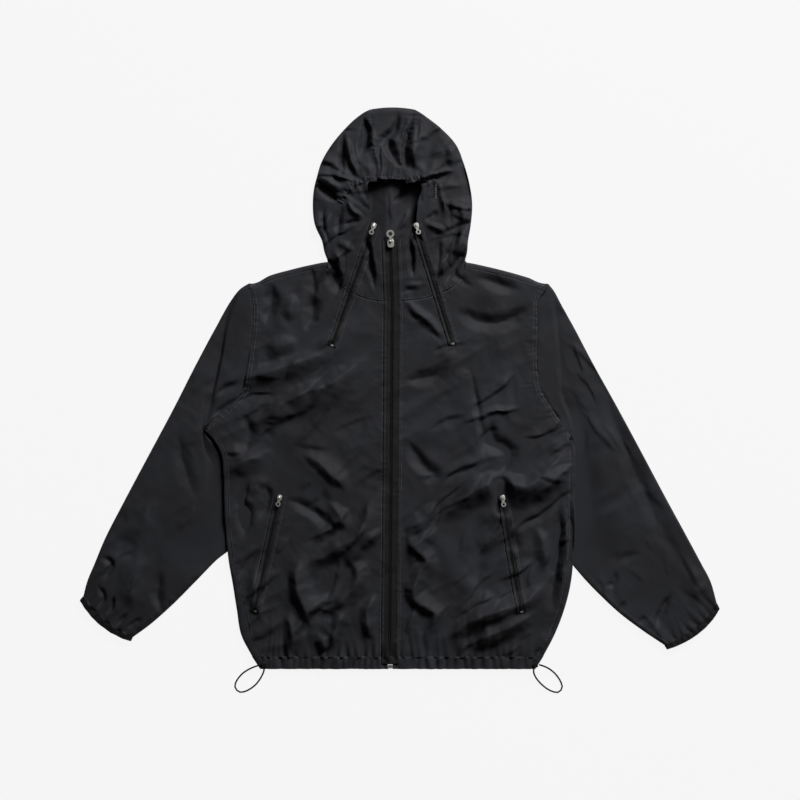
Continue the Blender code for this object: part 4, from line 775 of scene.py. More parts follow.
def crumple(xy, seed):
    """Small creasing of thin nylon: long soft folds, facets with sharp edges between, and fine crinkles."""
    x = xy[:, 0] + 0.016 * grain(xy[:, 0] / 0.07, xy[:, 1] / 0.07, seed)
    y = xy[:, 1] + 0.016 * grain(xy[:, 0] / 0.07, xy[:, 1] / 0.07, seed + 1)
    turned = 0.8 * x + 0.6 * y
    across = 0.8 * y - 0.6 * x
    where = np.clip(0.6 + 0.7 * grain(x / 0.12, y / 0.12, seed + 2), 0.15, 1.2)
    there = np.clip(0.5 + 0.8 * grain(x / 0.09, y / 0.09, seed + 6), 0.0, 1.2)
    long_folds = 1.0 - 2.2 * np.sqrt(grain(turned / 0.16, across / 0.042, seed + 3) ** 2 + 0.0008)
    facets = 1.0 - 2.2 * np.sqrt(grain(across / 0.055, turned / 0.032, seed + 4) ** 2 + 0.0006)
    sharp = 1.0 - 2.0 * np.abs(grain(x / 0.024, y / 0.03, seed + 7))
    fine = 1.0 - 2.0 * np.abs(grain(x / 0.011, y / 0.014, seed + 5))
    return (2.0 * long_folds * where + 0.7 * facets * there + (0.4 * sharp + 0.2 * fine) * where) * MM


def broad_folds(xy):
    """The largest soft folds, the ones that the solid jacket has too."""
    total = np.zeros(len(xy))
    for fold in FOLDS:
        path = np.array([(fold.x0, fold.y0), (fold.x1, fold.y1)]) * MM
        distance = measure(xy, path)[0]
        share = np.minimum(distance / (fold.width * MM / 2), 1.0)
        total += fold.height * MM * np.cos(math.pi / 2 * share) ** 2
    return total


def calm(xy):
    """Share of the creases' height that is left: low where a pull tab lies or flips over."""
    left = np.ones(len(xy))
    for spec in ZIPS:
        top, bottom = plan(spec.top), plan(spec.bottom)
        reach = (top - bottom).normalized() * CALM_HALF
        distance = measure(xy, np.array([(top - reach)[:], (top + reach)[:]]))[0]
        left = np.minimum(left, CALM_LEAST + (1 - CALM_LEAST) * smooth((distance - CALM_FROM) / CALM_OVER))
    return left


def body_relief(xy):
    """Everything that the fronts and the hood's upper layer do above their plain form."""
    hood_share = smooth((xy[:, 1] - 0.14) / 0.10)
    total = crumple(xy, 3) * (1 + 0.2 * hood_share) + broad_folds(xy)
    total += creases(xy, FRONT_CREASES + HOOD_CREASES)
    total += gathers(xy, BODY_SEAMS)
    return total * calm(xy)


def hood_inside(fine):
    """Folds of the hood's lower layer where the face opening shows it, placed in millimetres."""
    flat = fine.reshape(-1, 3)
    x = flat[:, 0] / MM
    y = flat[:, 1] / MM
    window = smooth((x + 58) / 6) * smooth((48 - x) / 6) * smooth((y - 236) / 18) * smooth((353 - y) / 8)
    rise = np.interp(x, (-47, -24, -20, 16, 22, 38), (0.0, 6.8, 6.8, 1.6, 0.6, 6.6)) * MM
    rise += creases(flat[:, :2], HOOD_INSIDE_CREASES) + 0.5 * crumple(flat[:, :2], 61)
    low = flat[:, 2] < FRONT_RISE / 2
    flat[low, 2] += (window * np.maximum(rise, 0.0))[low]
    return fine


LAID = []                   # search trees of the finished panels that other pieces lie on


def cloth_top(xy):
    """Upper face of the finished panels at plan points, or their form where a seam gap is hit."""
    result = plain_height(xy[:, 0], xy[:, 1]) + body_relief(xy) + CLOTH / 2
    for k, (x, y) in enumerate(xy):
        hits = [tree.ray_cast(Vector((x, y, 0.2)), Vector((0, 0, -1)))[0] for tree in LAID]
        heights = [hit.z for hit in hits if hit is not None and hit.z > FRONT_RISE / 2]
        if heights:
            result[k] = max(heights)
    return result


def remember(obj):
    """Lets pieces made later lie on this one."""
    mesh = obj.data
    points = [vertex.co[:] for vertex in mesh.vertices]
    LAID.append(BVHTree.FromPolygons(points, [face.vertices[:] for face in mesh.polygons]))


# Fine grids ---------------------------------------------------------------------------------------
def spread(knots, step, first, last):
    """Matrix from coarse points at uneven knots to fine ones on a smooth curve, and each one's knot."""
    count = len(knots)
    gaps = np.maximum(np.diff(knots), 1e-5)
    slope = np.zeros((count, count))
    for i in range(count):
        if i in (0, count - 1):
            j = min(i, count - 2)
            slope[i, j] = -1 / gaps[j]
            slope[i, j + 1] = 1 / gaps[j]
        else:
            a, b = gaps[i - 1], gaps[i]
            slope[i, i - 1] = -b / (a * (a + b))
            slope[i, i] = (b - a) / (a * b)
            slope[i, i + 1] = a / (b * (a + b))
    rows = []
    cells = []
    for i in range(first, last):
        parts = max(2, round(gaps[i] / step)) if gaps[i] > 0.8 * MM else 1
        for k in range(parts):
            t = k / parts
            row = slope[i] * gaps[i] * (t ** 3 - 2 * t * t + t) + slope[i + 1] * gaps[i] * (t ** 3 - t * t)
            row[i] += 2 * t ** 3 - 3 * t * t + 1
            row[i + 1] += 3 * t * t - 2 * t ** 3
            rows.append(row)
            cells.append(i)
    end = np.zeros(count)
    end[last] = 1.0
    return np.array(rows + [end]), cells


def filled(rows):
    """Coarse grid as an array, with the left-out places given likely points, and what is present."""
    present = np.array([[point is not None for point in row] for row in rows])
    grid = np.array([[point[:] if point is not None else (0, 0, 0) for point in row] for row in rows], float)
    for j in range(len(rows)):
        held = np.nonzero(present[j])[0]
        for i in np.nonzero(~present[j])[0]:
            if i < held[0] or i > held[-1]:
                edge = held[0] if i < held[0] else held[-1]
                grid[j, i] = grid[j, edge] + grid[j - 1, i] - grid[j - 1, edge]
            else:
                low = held[held < i][-1]
                high = held[held > i][0]
                grid[j, i] = grid[j, low] + (grid[j, high] - grid[j, low]) * (i - low) / (high - low)
    return grid, present


def mean_gaps(grid, present, axis):
    """Places of a grid's rows or columns by their mean distance apart."""
    gaps = np.linalg.norm(np.diff(grid, axis=axis), axis=2)
    if axis == 0:
        both = present[1:] & present[:-1]
        mean = (gaps * both).sum(axis=1) / np.maximum(both.sum(axis=1), 1)
    else:
        both = present[:, 1:] & present[:, :-1]
        mean = (gaps * both).sum(axis=0) / np.maximum(both.sum(axis=0), 1)
    return np.concatenate([[0.0], np.cumsum(np.maximum(mean, 1e-5))])


def fine_grid(rows, step, ring=False):
    """Fine points, the coarse cell of each fine cell, and lengths along and across, for a coarse grid."""
    grid, present = filled(rows)
    first, last = 0, grid.shape[1] - 1
    if ring:
        grid = np.concatenate([grid[:, -2:], grid, grid[:, :3]], axis=1)
        present = np.concatenate([present[:, -2:], present, present[:, :3]], axis=1)
        first, last = 2, grid.shape[1] - 3
    down = mean_gaps(grid, present, 0)
    over = mean_gaps(grid, present, 1)
    lift, row_cells = spread(down, step, 0, len(rows) - 1)
    turn, column_cells = spread(over, step, first, last)
    fine = np.einsum("ij,jkc,lk->ilc", lift, grid, turn)
    kept = present[:-1, :-1] & present[1:, :-1] & present[:-1, 1:] & present[1:, 1:]
    cells = kept[np.array(row_cells)][:, np.array(column_cells)]
    return fine, cells, lift @ down, turn @ over


def mesh_piece(name, points, faces, uvs=None, material=None):
    """An object from point, face and UV lists, with faces shaded smooth."""
    mesh = bpy.data.meshes.new(name)
    mesh.from_pydata(points, [], faces)
    if uvs is not None:
        layer = mesh.uv_layers.new(name="cloth")
        corners = np.empty(len(mesh.loops), np.int32)
        mesh.loops.foreach_get("vertex_index", corners)
        layer.data.foreach_set("uv", np.asarray(uvs, np.float32)[corners].ravel())
    mesh.shade_smooth()
    obj = bpy.data.objects.new(name, mesh)
    bpy.context.collection.objects.link(obj)
    if material:
        mesh.materials.append(material)
    return obj


def wall(name, fine, cells, down, over, thickness, material, ring=False):
    """Cloth piece of one thickness round a fine grid, kept off the floor and given UVs in metres of cloth."""
    rows, columns = fine.shape[:2]
    fine[:, :, 2] = np.maximum(fine[:, :, 2], thickness / 2 + FLOOR_GAP)
    index = np.arange(rows * columns).reshape(rows, columns)
    if ring:
        index[:, -1] = index[:, 0]
    quads = np.stack([index[:-1, :-1], index[:-1, 1:], index[1:, 1:], index[1:, :-1]], axis=-1)[cells]
    used, renumbered = np.unique(quads, return_inverse=True)
    flat = np.stack(np.broadcast_arrays(over[None, :], down[:, None]), axis=-1).reshape(-1, 2)
    obj = mesh_piece(name, fine.reshape(-1, 3)[used].tolist(), renumbered.reshape(-1, 4).tolist(),
                     flat[used], material)
    solid = obj.modifiers.new("thickness", "SOLIDIFY")
    solid.thickness = thickness
    solid.offset = 0.0
    apply_modifiers(obj)
    obj.data.set_sharp_from_angle(angle=math.radians(60))
    return obj


def apply_modifiers(obj):
    """Turns an object's modifiers into plain mesh."""
    bpy.ops.object.select_all(action="DESELECT")
    bpy.context.view_layer.objects.active = obj
    obj.select_set(True)
    for modifier in list(obj.modifiers):
        bpy.ops.object.modifier_apply(modifier=modifier.name)
    obj.select_set(False)


def settle(fine, relief, floor=REST, full=None):
    """Adds relief to the upper layer of a grid, fading it out towards the lower layer."""
    flat = fine.reshape(-1, 3)
    top = plain_height(flat[:, 0], flat[:, 1]) if full is None else full
    share = smooth(((flat[:, 2] - floor) / np.maximum(top - floor, 1 * MM) - 0.45) / 0.5)
    lifted = np.nonzero(share > 0)[0]
    flat[lifted, 2] += share[lifted] * relief(flat[lifted, :2])
    flat[lifted, 2] = np.maximum(flat[lifted, 2], floor + 0.8 * MM)
    return fine


def upper_piece(name, rows, material, step):
    """A panel whose whole face is the upper layer, or which folds down to the lower one."""
    fine, cells, down, over = fine_grid(rows, step)
    piece = wall(name, settle(fine, body_relief), cells, down, over, CLOTH, material)
    remember(piece)
    return piece


# Body ---------------------------------------------------------------------------------------------
def side_point(side, other, share, inset):
    """Plan point a given distance in from the side, at a share of the side's rows."""
    place = polyline([plan(row) for row in side], share)
    facing = polyline([plan(row) for row in other], share)
    return place + (facing - place).normalized() * inset


def side_value(side, share, column):
    """A column's value at a share of a side table's rows."""
    return polyline([getattr(row, column) for row in side], share) * MM


def shifted_row(start_line, goals, straight_goals, share):
    """Straight grid line carried towards the curved top edge in step with its share of the height."""
    return [place + (goal - straight) * share
            for place, goal, straight in zip(start_line, goals, straight_goals)]


def shoulder_seam(shoulder, side):
    """Top edge of a front under the shoulder fold, from the neck out to the armhole."""
    seam = [plan(point) - Vector((0, SHOULDER_WRAP + SEAM_GAP)) for point in shoulder]
    seam[0].y -= NECK_CORNER_DROP
    seam[-1] = plan(side[-1])
    return seam


def front_rows(side, other, shoulder, neck_seam, sign):
    """Grid of a front between the centre zip, the hem casing, the side or armhole, and the top seams."""
    zip_corner = Vector((centre_x(NECK_SEAM_Y) + sign * CENTRE_HALF_SLOT, NECK_SEAM_Y))
    top_seam = [zip_corner] + [plan(point) for point in neck_seam] + shoulder_seam(shoulder, side)
    columns = len(top_seam) - 1
    straight_top = [mix(top_seam[0], top_seam[-1], i / columns) for i in range(columns + 1)]
    last = 2 * (len(side) - 1)
    rows = []
    for j in range(last + 1):
        share = j / last
        below_armpit = j <= 2 * ARMPIT_ROW
        inset = side_value(side, share, "wrap") + SEAM_GAP if below_armpit else SEAM_GAP / 2
        outer = side_point(side, other, share, inset)
        inner_y = mix(HEM_TOP, NECK_SEAM_Y, share)
        inner = Vector((centre_x(inner_y) + sign * CENTRE_HALF_SLOT, inner_y))
        line = [mix(inner, outer, i / columns) for i in range(columns + 1)]
        line = shifted_row(line, top_seam, straight_top, share)
        rows.append([at_height(place, front_height(place)) for place in line])
    return rows


def back_top_line():
    """Shoulder folds and back neckline from right to left."""
    neck = [plan((x, BACK_NECK_Y)) for x in BACK_NECK_X]
    right = [plan(point) for point in reversed(SHOULDER_RIGHT)]
    return right + neck + [plan(point) for point in SHOULDER_LEFT]


def on_shoulder(index):
    """Whether a point of the back's top line is on a shoulder fold and not on the neckline."""
    return index < len(SHOULDER_RIGHT) or index >= len(SHOULDER_RIGHT) + len(BACK_NECK_X)


def back_side(side, other, row_index):
    """Start of a back row at one side: plan point, lift, and the flap folded over onto the front."""
    share = row_index / (len(side) - 1)
    lift = side[row_index].lift * MM
    if row_index > ARMPIT_ROW:
        return side_point(side, other, share, SEAM_GAP / 2), lift, [None] * FOLD_POINTS
    edge = side_point(side, other, share, 0.0)
    seam = side_point(side, other, share, side[row_index].wrap * MM)
    high = front_height(seam)
    fold = folded_edge(edge, seam - edge, REST + lift, high)
    return fold[0].xy, lift, fold[1:] + [at_height(seam, high)]


def back_rows():
    """Grid of the back: flat under the body, raised over the sleeves, folded over sides and shoulders."""
    top_line = back_top_line()
    count = len(top_line)
    fold_width = Vector((0, ROLL * (FRONT_RISE - REST) / 2))
    goals = [point - fold_width if on_shoulder(i) else point for i, point in enumerate(top_line)]
    ends = [side_point(RIGHT_SIDE, LEFT_SIDE, 1.0, 0.0), side_point(LEFT_SIDE, RIGHT_SIDE, 1.0, 0.0)]
    straight_top = tuck_line(ends[0], ends[1], count)
    rows = []
    for j in range(len(RIGHT_SIDE)):
        right, lift_right, flap_right = back_side(RIGHT_SIDE, LEFT_SIDE, j)
        left, lift_left, flap_left = back_side(LEFT_SIDE, RIGHT_SIDE, j)
        share = j / (len(RIGHT_SIDE) - 1)
        line = shifted_row(tuck_line(right, left, count), goals, straight_top, ease(share * 2 - 1))
        if share < 1.0:
            line[0] = right
            line[-1] = left
        lifts = [lift_right] * 2 + [0.0] * (count - 4) + [lift_left] * 2
        row = [at_height(place, REST + lift) for place, lift in zip(line, lifts)]
        rows.append(list(reversed(flap_right)) + row + flap_left)
    return rows + shoulder_fold_rows(top_line)


def tuck_line(right, left, count):
    """Points of a back row: its ends, the limits of the raised strips, and even steps between those."""
    direction = (left - right).normalized()
    first = right + direction * TUCK_REACH
    last = left - direction * TUCK_REACH
    return [right] + [mix(first, last, k / (count - 3)) for k in range(count - 2)] + [left]


def shoulder_fold_rows(top_line):
    """Rows that carry the back over the shoulders onto the front."""
    folded = [[None] * (len(top_line) + 2 * FOLD_POINTS) for _ in range(FOLD_POINTS)]
    right = list(reversed(shoulder_seam(SHOULDER_RIGHT, RIGHT_SIDE)))
    seams = right + [None] * len(BACK_NECK_X) + shoulder_seam(SHOULDER_LEFT, LEFT_SIDE)
    for i, (edge, seam) in enumerate(zip(top_line, seams)):
        if seam is None:
            continue
        over = seam + Vector((0, SEAM_GAP))
        high = front_height(over)
        points = folded_edge(edge, over - edge, REST, high)[1:] + [at_height(over, high)]
        for k, point in enumerate(points):
            folded[k][FOLD_POINTS + i] = point
    return folded


def hem_rows(upper):
    """Band from a seam line down to the hem edge, drawn in by its cord towards the middle."""
    lower = []
    for point in upper:
        lower.append(Vector((point.x * HEM_DRAW, HEM_BOTTOM, point.z)))
    return [lower, upper]


def hem_back_line():
    """Seam line of the back hem casing, round both side folds."""
    flaps = []
    for side, other in ((RIGHT_SIDE, LEFT_SIDE), (LEFT_SIDE, RIGHT_SIDE)):
        edge = side_point(side, other, 0.0, 0.0)
        seam = side_point(side, other, 0.0, side[0].wrap * MM)
        fold = folded_edge(edge, seam - edge, BINDING / 2, FRONT_RISE)
        flaps.append(fold + [at_height(seam, FRONT_RISE)])
    right, left = flaps
    middle = [mix(right[0], left[0], k / HEM_STEPS) for k in range(1, HEM_STEPS)]
    joined = list(reversed(right)) + middle + left
    return [Vector((point.x, HEM_TOP - SEAM_GAP, point.z)) for point in joined]


def hem_front_line(side, other, sign):
    """Seam line between a front and its hem casing."""
    outer = side_point(side, other, 0.0, side[0].wrap * MM + SEAM_GAP)
    start = Vector((centre_x(HEM_TOP) + sign * CENTRE_HALF_SLOT, HEM_TOP - SEAM_GAP, FRONT_RISE))
    end = Vector((outer.x, HEM_TOP - SEAM_GAP, FRONT_RISE))
    return [mix(start, end, k / HEM_STEPS) for k in range(HEM_STEPS + 1)]


# Sleeves ------------------------------------------------------------------------------------------
def sleeve_ring(across, outer, inner, shares, top_of, low):
    """Ring of mid-surface points round a flattened sleeve: over the top inwards, back underneath."""
    upper = [at_height(point, top_of(share, point)) for share, point in zip(shares, across)]
    outer_fold = folded_edge(outer, across[0] - outer, low, upper[0].z)
    inner_fold = folded_edge(inner, across[-1] - inner, low, top_of(1.0, inner))
    lower = [at_height(point, low) for point in reversed(across)]
    return outer_fold[1:] + upper + list(reversed(inner_fold)) + lower + outer_fold[:1]


def sleeve_rings(side, tip, table):
    """Rings of a sleeve from the armhole seam to the cuff seam, with the column shares they use."""
    armhole = [plan(row) for row in reversed(side[ARMPIT_ROW:])]
    tip = plan(tip)
    outward = Vector((math.copysign(1.0, tip.x), 0.0))
    inner = armhole[-1] + outward * ARMPIT_CLEARANCE
    lengths = [(armhole[0] - tip).length]
    for a, b in zip(armhole, armhole[1:]):
        lengths.append(lengths[-1] + (b - a).length)
    shares = [length / lengths[-1] for length in lengths[:-1]]
    first = sleeve_ring([point + outward * SEAM_GAP for point in armhole[:-1]], tip, inner, shares,
                        lambda share, point: front_height(point), REST)
    rings = [first]
    for row in table:
        rings.append(table_ring(row, shares, REST))
    return rings, shares


def table_ring(row, shares, low):
    """Ring of a sleeve from one row of its table."""
    guide = [plan(point) for point in (row.outer, row.a, row.b, row.inner)]
    across = [cubic(guide, share) for share in shares]

    def top_of(share, point):
        return mix(row.top, row.inner_top, ease((share - TUCK_FROM) / TUCK_OVER)) * MM

    return sleeve_ring(across, guide[0], guide[-1], shares, top_of, low)


def cuff_rings(last_row, edge, shares):
    """Two rings of the elastic cuff binding, from just past the cuff seam to the open end."""
    seam_points = [plan(point) for point in (last_row.outer, last_row.a, last_row.b, last_row.inner)]
    edge_points = [plan(point) for point in edge]
    rings = []
    for target in (0.0, 1.0):
        guide = []
        for seam_point, edge_point in zip(seam_points, edge_points):
            start = seam_point + (edge_point - seam_point).normalized() * CUFF_SEAM_SHIFT
            guide.append(mix(start, edge_point, target))
        across = [cubic(guide, share) for share in shares]
        rings.append(sleeve_ring(across, guide[0], guide[-1], shares,
                                 lambda share, point: CUFF_TOP, BINDING / 2))
    return rings


# Hood ---------------------------------------------------------------------------------------------
def hood_height(place, share):
    """Mid-surface height of the hood: share 1 is its upper layer, -1 its lower one."""
    top = front_height(place)
    return mix((REST + top) / 2, top, share)


def hood_row(row):
    """One row of a hood side: along the back, round the outline, and over the front."""
    seam, edge, a, b, front = (plan(getattr(row, key)) for key in ("seam", "edge", "a", "b", "front"))
    fold = folded_edge(edge, (seam - edge) * FOLD_LIMIT, REST, front_height(edge), row.share,
                       (a - edge) * FOLD_LIMIT)
    lower = [mix(seam, fold[0].xy, k / 3) for k in range(3)]
    upper = []
    for start, end in ((fold[-1].xy, a), (a, b), (b, front)):
        upper += [mix(start, end, 0.5), end]
    points = [at_height(place, hood_height(place, -row.share)) for place in lower]
    return points + fold + [at_height(place, hood_height(place, row.share)) for place in upper]


def hood_centre_rows():
    """Strip over the crown: up the back from the neck, over the outline, down the front to the brim."""
    pairs = list(zip(RIGHT_HOOD, LEFT_HOOD))
    stations = [(plan(right.seam), plan(left.seam), -right.share) for right, left in pairs]
    stations.append((plan(CROWN_RIGHT), plan(CROWN_LEFT), 0.0))
    for right, left in reversed(pairs[BRIM_ROW:]):
        stations.append((plan(right.front), plan(left.front), right.share))
    rows = []
    for right, left, share in stations:
        row = []
        for k in range(5):
            across = k / 4
            place = mix(right + Vector((SEAM_GAP, 0)), left - Vector((SEAM_GAP, 0)), across)
            bow = CROWN_BOW * ease((place.y - BOW_FROM_Y) / (CROWN_RIGHT[1] * MM - BOW_FROM_Y))
            place.y += bow * 4 * across * (1 - across)
            row.append(at_height(place, hood_height(place, share)))
        rows.append(row)
    return rows


def chin_rows(bottom, top):
    """Ruled grid of a chin panel between the neck seam and its free top edge."""
    low = [plan(point) for point in bottom]
    high = [plan(point) for point in top]
    rows = []
    for j in range(CHIN_ROWS + 1):
        row = [mix(polyline(low, i / 4), polyline(high, i / 4), j / CHIN_ROWS) for i in range(5)]
        rows.append([at_height(place, front_height(place)) for place in row])
    return rows


# Materials ----------------------------------------------------------------------------------------
def linear(code):
    """sRGB hex to linear colour."""
    channels = [int(code[i:i + 2], 16) / 255 for i in (0, 2, 4)]
    return tuple(c / 12.92 if c <= 0.04045 else ((c + 0.055) / 1.055) ** 2.4 for c in channels) + (1.0,)


def add_node(tree, kind, settings=None, links=None):
    """A node with its settings, and its inputs set to values or linked to other nodes' outputs."""
    node = tree.nodes.new(kind)
    for key, value in (settings or {}).items():
        setattr(node, key, value)
    for socket, value in (links or {}).items():
        if isinstance(value, bpy.types.NodeSocket):
            tree.links.new(value, node.inputs[socket])
        else:
            node.inputs[socket].default_value = value
    return node


def new_material(name, settings):
    """A material whose shader has these constant values."""
    material = bpy.data.materials.new(name)
    material.use_nodes = True
    tree = material.node_tree
    shader = tree.nodes["Principled BSDF"]
    for socket, value in settings.items():
        shader.inputs[socket].default_value = value
    return material, tree, shader


def ramp(tree, factor, low, high, colours):
    """Colour ramp between two places."""
    node = add_node(tree, "ShaderNodeValToRGB", links={"Fac": factor})
    for element, place, colour in zip(node.color_ramp.elements, (low, high), colours):
        element.position = place
        element.color = colour
    return node.outputs["Color"]


def nylon_taffeta():
    """Thin black nylon taffeta: a tight plain weave that reads as a fine grain with a soft satin light."""
    material, tree, shader = new_material("black_nylon_taffeta", {
        "Roughness": 0.68, "Sheen Weight": 0.03, "Sheen Roughness": 0.4, "Specular IOR Level": 0.13})
    uv = add_node(tree, "ShaderNodeUVMap", {"uv_map": "cloth"}).outputs["UV"]
    place = add_node(tree, "ShaderNodeTexCoord").outputs["Object"]
    clouds = add_node(tree, "ShaderNodeTexNoise", links={"Vector": place, "Scale": 9.0, "Detail": 4.0})
    colour = ramp(tree, clouds.outputs["Fac"], 0.3, 0.7, (linear("202023"), linear("28292d")))
    tree.links.new(colour, shader.inputs["Base Color"])
    height = None
    for profile in ("X", "Y"):
        # threads stand 0.25 mm apart on the real cloth and are drawn 0.9 mm apart so that they show
        thread = add_node(tree, "ShaderNodeTexWave", {"bands_direction": profile}, {
            "Vector": uv, "Scale": 350.0, "Distortion": 1.5, "Detail": 1.0, "Detail Scale": 0.4})
        if height is None:
            height = thread.outputs["Fac"]
        else:
            height = add_node(tree, "ShaderNodeMath", {"operation": "ADD"},
                              {0: height, 1: thread.outputs["Fac"]}).outputs["Value"]
    weave = add_node(tree, "ShaderNodeBump", links={"Height": height, "Strength": 0.12, "Distance": 0.0002})
    slubs = add_node(tree, "ShaderNodeMapping", links={"Vector": uv, "Scale": (900.0, 45.0, 1.0)})
    slub = add_node(tree, "ShaderNodeTexNoise", links={"Vector": slubs.outputs["Vector"], "Scale": 1.0})
    streaks = add_node(tree, "ShaderNodeBump", links={
        "Height": slub.outputs["Fac"], "Strength": 0.15, "Distance": 0.0003,
        "Normal": weave.outputs["Normal"]})
    tree.links.new(streaks.outputs["Normal"], shader.inputs["Normal"])
    return material


def woven_trim(name, code, pitch, roughness=0.75):
    """Matt woven trim: close ribs across its length that drink most of the light."""
    material, tree, shader = new_material(name, {
        "Base Color": linear(code), "Roughness": roughness, "Specular IOR Level": 0.25})
    place = add_node(tree, "ShaderNodeTexCoord").outputs["Object"]
    ribs = add_node(tree, "ShaderNodeTexVoronoi", links={"Vector": place, "Scale": 1.0 / pitch})
    bump = add_node(tree, "ShaderNodeBump", links={
        "Height": ribs.outputs["Distance"], "Strength": 0.5, "Distance": 0.0002})
    tree.links.new(bump.outputs["Normal"], shader.inputs["Normal"])
    return material


def polished_nickel():
    """Bright nickel-plated zinc: clear reflections, faintly dulled by handling."""
    material, tree, shader = new_material("nickel_plated_zinc", {
        "Base Color": linear("f2efe8"), "Metallic": 1.0})
    place = add_node(tree, "ShaderNodeTexCoord").outputs["Object"]
    wear = add_node(tree, "ShaderNodeTexNoise", links={"Vector": place, "Scale": 600.0, "Detail": 3.0})
    rough = add_node(tree, "ShaderNodeMapRange", links={
        "Value": wear.outputs["Fac"], "From Min": 0.3, "From Max": 0.7, "To Min": 0.36, "To Max": 0.46})
    tree.links.new(rough.outputs["Result"], shader.inputs["Roughness"])
    return material


# Pieces on the cloth ------------------------------------------------------------------------------
def routed(start, end, step, bend=None):
    """Evenly spaced plan points from one point to another, by a straight line or along the centre zip."""
    count = max(2, round((end - start).length / step))
    points = [mix(start, end, k / count) for k in range(count + 1)]
    if bend == "centre_zip":
        points = [Vector((centre_x(point.y), point.y)) for point in points]
    return np.array([point[:] for point in points])


def sideways(route):
    """Unit vectors to the left of a route at each of its points."""
    along = np.gradient(route, axis=0)
    along /= np.linalg.norm(along, axis=1)[:, None]
    return np.stack([-along[:, 1], along[:, 0]], axis=1)


def walked(route):
    """Distance walked along a route to each of its points."""
    return np.concatenate([[0.0], np.cumsum(np.linalg.norm(np.diff(route, axis=0), axis=1))])


def beside(route, offsets):
    """Grid of plan points at several distances to the left of a route."""
    return route[:, None, :] + sideways(route)[:, None, :] * offsets[None, :, None]


def ribbon(name, route, offsets, lift, thickness, material, ripple=None):
    """Strip along a route over the cloth; offsets are the places of its columns to the left."""
    offsets = np.asarray(offsets)
    plan_points = beside(route, offsets)
    base = cloth_top(offset_route(route, float(offsets.mean())))
    base = np.convolve(np.pad(base, 2, mode="edge"), np.ones(5) / 5, mode="valid")
    fall = cloth_top(plan_points.reshape(-1, 2)).reshape(plan_points.shape[:2])
    height = np.maximum(0.5 * base[:, None] + 0.5 * fall, fall) + lift
    lengths = walked(route)
    if ripple is not None:
        height = height + ripple(lengths[:, None], offsets[None, :])
    fine = np.concatenate([plan_points, height[:, :, None]], axis=2)
    cells = np.ones((len(route) - 1, len(offsets) - 1), bool)
    return wall(name, fine, cells, lengths, offsets, thickness, material)


def stamp(name, shape, places, material):
    """One mesh of many small copies: shape is (points, faces), places are 4x4 matrices."""
    points, faces = shape
    base = np.concatenate([np.array(points, float), np.ones((len(points), 1))], axis=1)
    all_points = np.concatenate([(base @ place.T)[:, :3] for place in places])
    all_faces = [[corner + k * len(points) for corner in face] for k in range(len(places)) for face in faces]
    return mesh_piece(name, all_points.tolist(), all_faces, None, material)


def bead(length, width, height):
    """Closed six-sided bead along X, for a stitch or a zip tooth."""
    half = length / 2
    arch = [(-width / 2, 0.0), (-width / 4, height), (width / 4, height), (width / 2, 0.0)]
    points = [(-half, 0, 0)]
    points += [(x, y, z) for x in (-half * 0.6, half * 0.6) for y, z in arch]
    points += [(half, 0, 0)]
    faces = [(0, 2, 1), (0, 3, 2), (0, 4, 3), (0, 1, 4)]
    faces += [(1, 2, 6, 5), (2, 3, 7, 6), (3, 4, 8, 7), (4, 1, 5, 8)]
    faces += [(9, 5, 6), (9, 6, 7), (9, 7, 8), (9, 8, 5)]
    return points, faces


def along_cloth(route, spacing, lift, turn=0.0):
    """Matrices at even spacing along a route, lying on the cloth and turned by an angle from it."""
    lengths = walked(route)
    places = np.arange(spacing / 2, lengths[-1], spacing)
    xy = np.stack([np.interp(places, lengths, route[:, 0]), np.interp(places, lengths, route[:, 1])], axis=1)
    way = np.gradient(xy, axis=0)
    way /= np.linalg.norm(way, axis=1)[:, None]
    z = cloth_top(xy) + lift
    z_ahead = cloth_top(xy + way * MM) + lift
    result = []
    for point, direction, low, high in zip(xy, way, z, z_ahead):
        slope = (high - low) / MM
        x_axis = Vector((direction[0], direction[1], max(-1.0, min(1.0, slope)))).normalized()
        y_axis = Vector((0, 0, 1)).cross(x_axis).normalized()
        z_axis = x_axis.cross(y_axis)
        frame_here = Matrix((x_axis, y_axis, z_axis)).transposed().to_4x4()
        frame_here.translation = (point[0], point[1], low)
        result.append(np.array(frame_here @ Matrix.Rotation(turn, 4, "Z")))
    return result


def offset_route(route, distance):
    """A route moved to its left."""
    return route + sideways(route) * distance


# The jacket ---------------------------------------------------------------------------------------
def dress(piece, slot, *nodes):
    """Ties a piece to the jacket and hides the CAD nodes that it stands for; its slot argument is not used.
    """
    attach(piece, "jacket")
    if nodes:
        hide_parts(*nodes)
    return piece


def repaint(node, material):
    """Gives a CAD node that is kept a new material."""
    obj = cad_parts[node]
    obj.data.materials.clear()
    obj.data.materials.append(material)


def make_body(cloth):
    """Back, folded over the sides and shoulders, and the two fronts that lie on it."""
    fine, cells, down, over = fine_grid(back_rows(), BACK_STEP)
    back = wall("back_panel", settle(fine, body_relief), cells, down, over, CLOTH, cloth)
    dress(back, "shell_cloth", "back")
    for name, side, other, shoulder, neck_seam, sign in (
            ("front_right", RIGHT_SIDE, LEFT_SIDE, SHOULDER_RIGHT, NECK_SEAM_RIGHT, -1),
            ("front_left", LEFT_SIDE, RIGHT_SIDE, SHOULDER_LEFT, NECK_SEAM_LEFT, 1)):
        rows = front_rows(side, other, shoulder, neck_seam, sign)
        front = upper_piece(name + "_panel", rows, cloth, FRONT_STEP)
        dress(front, "shell_cloth", name)


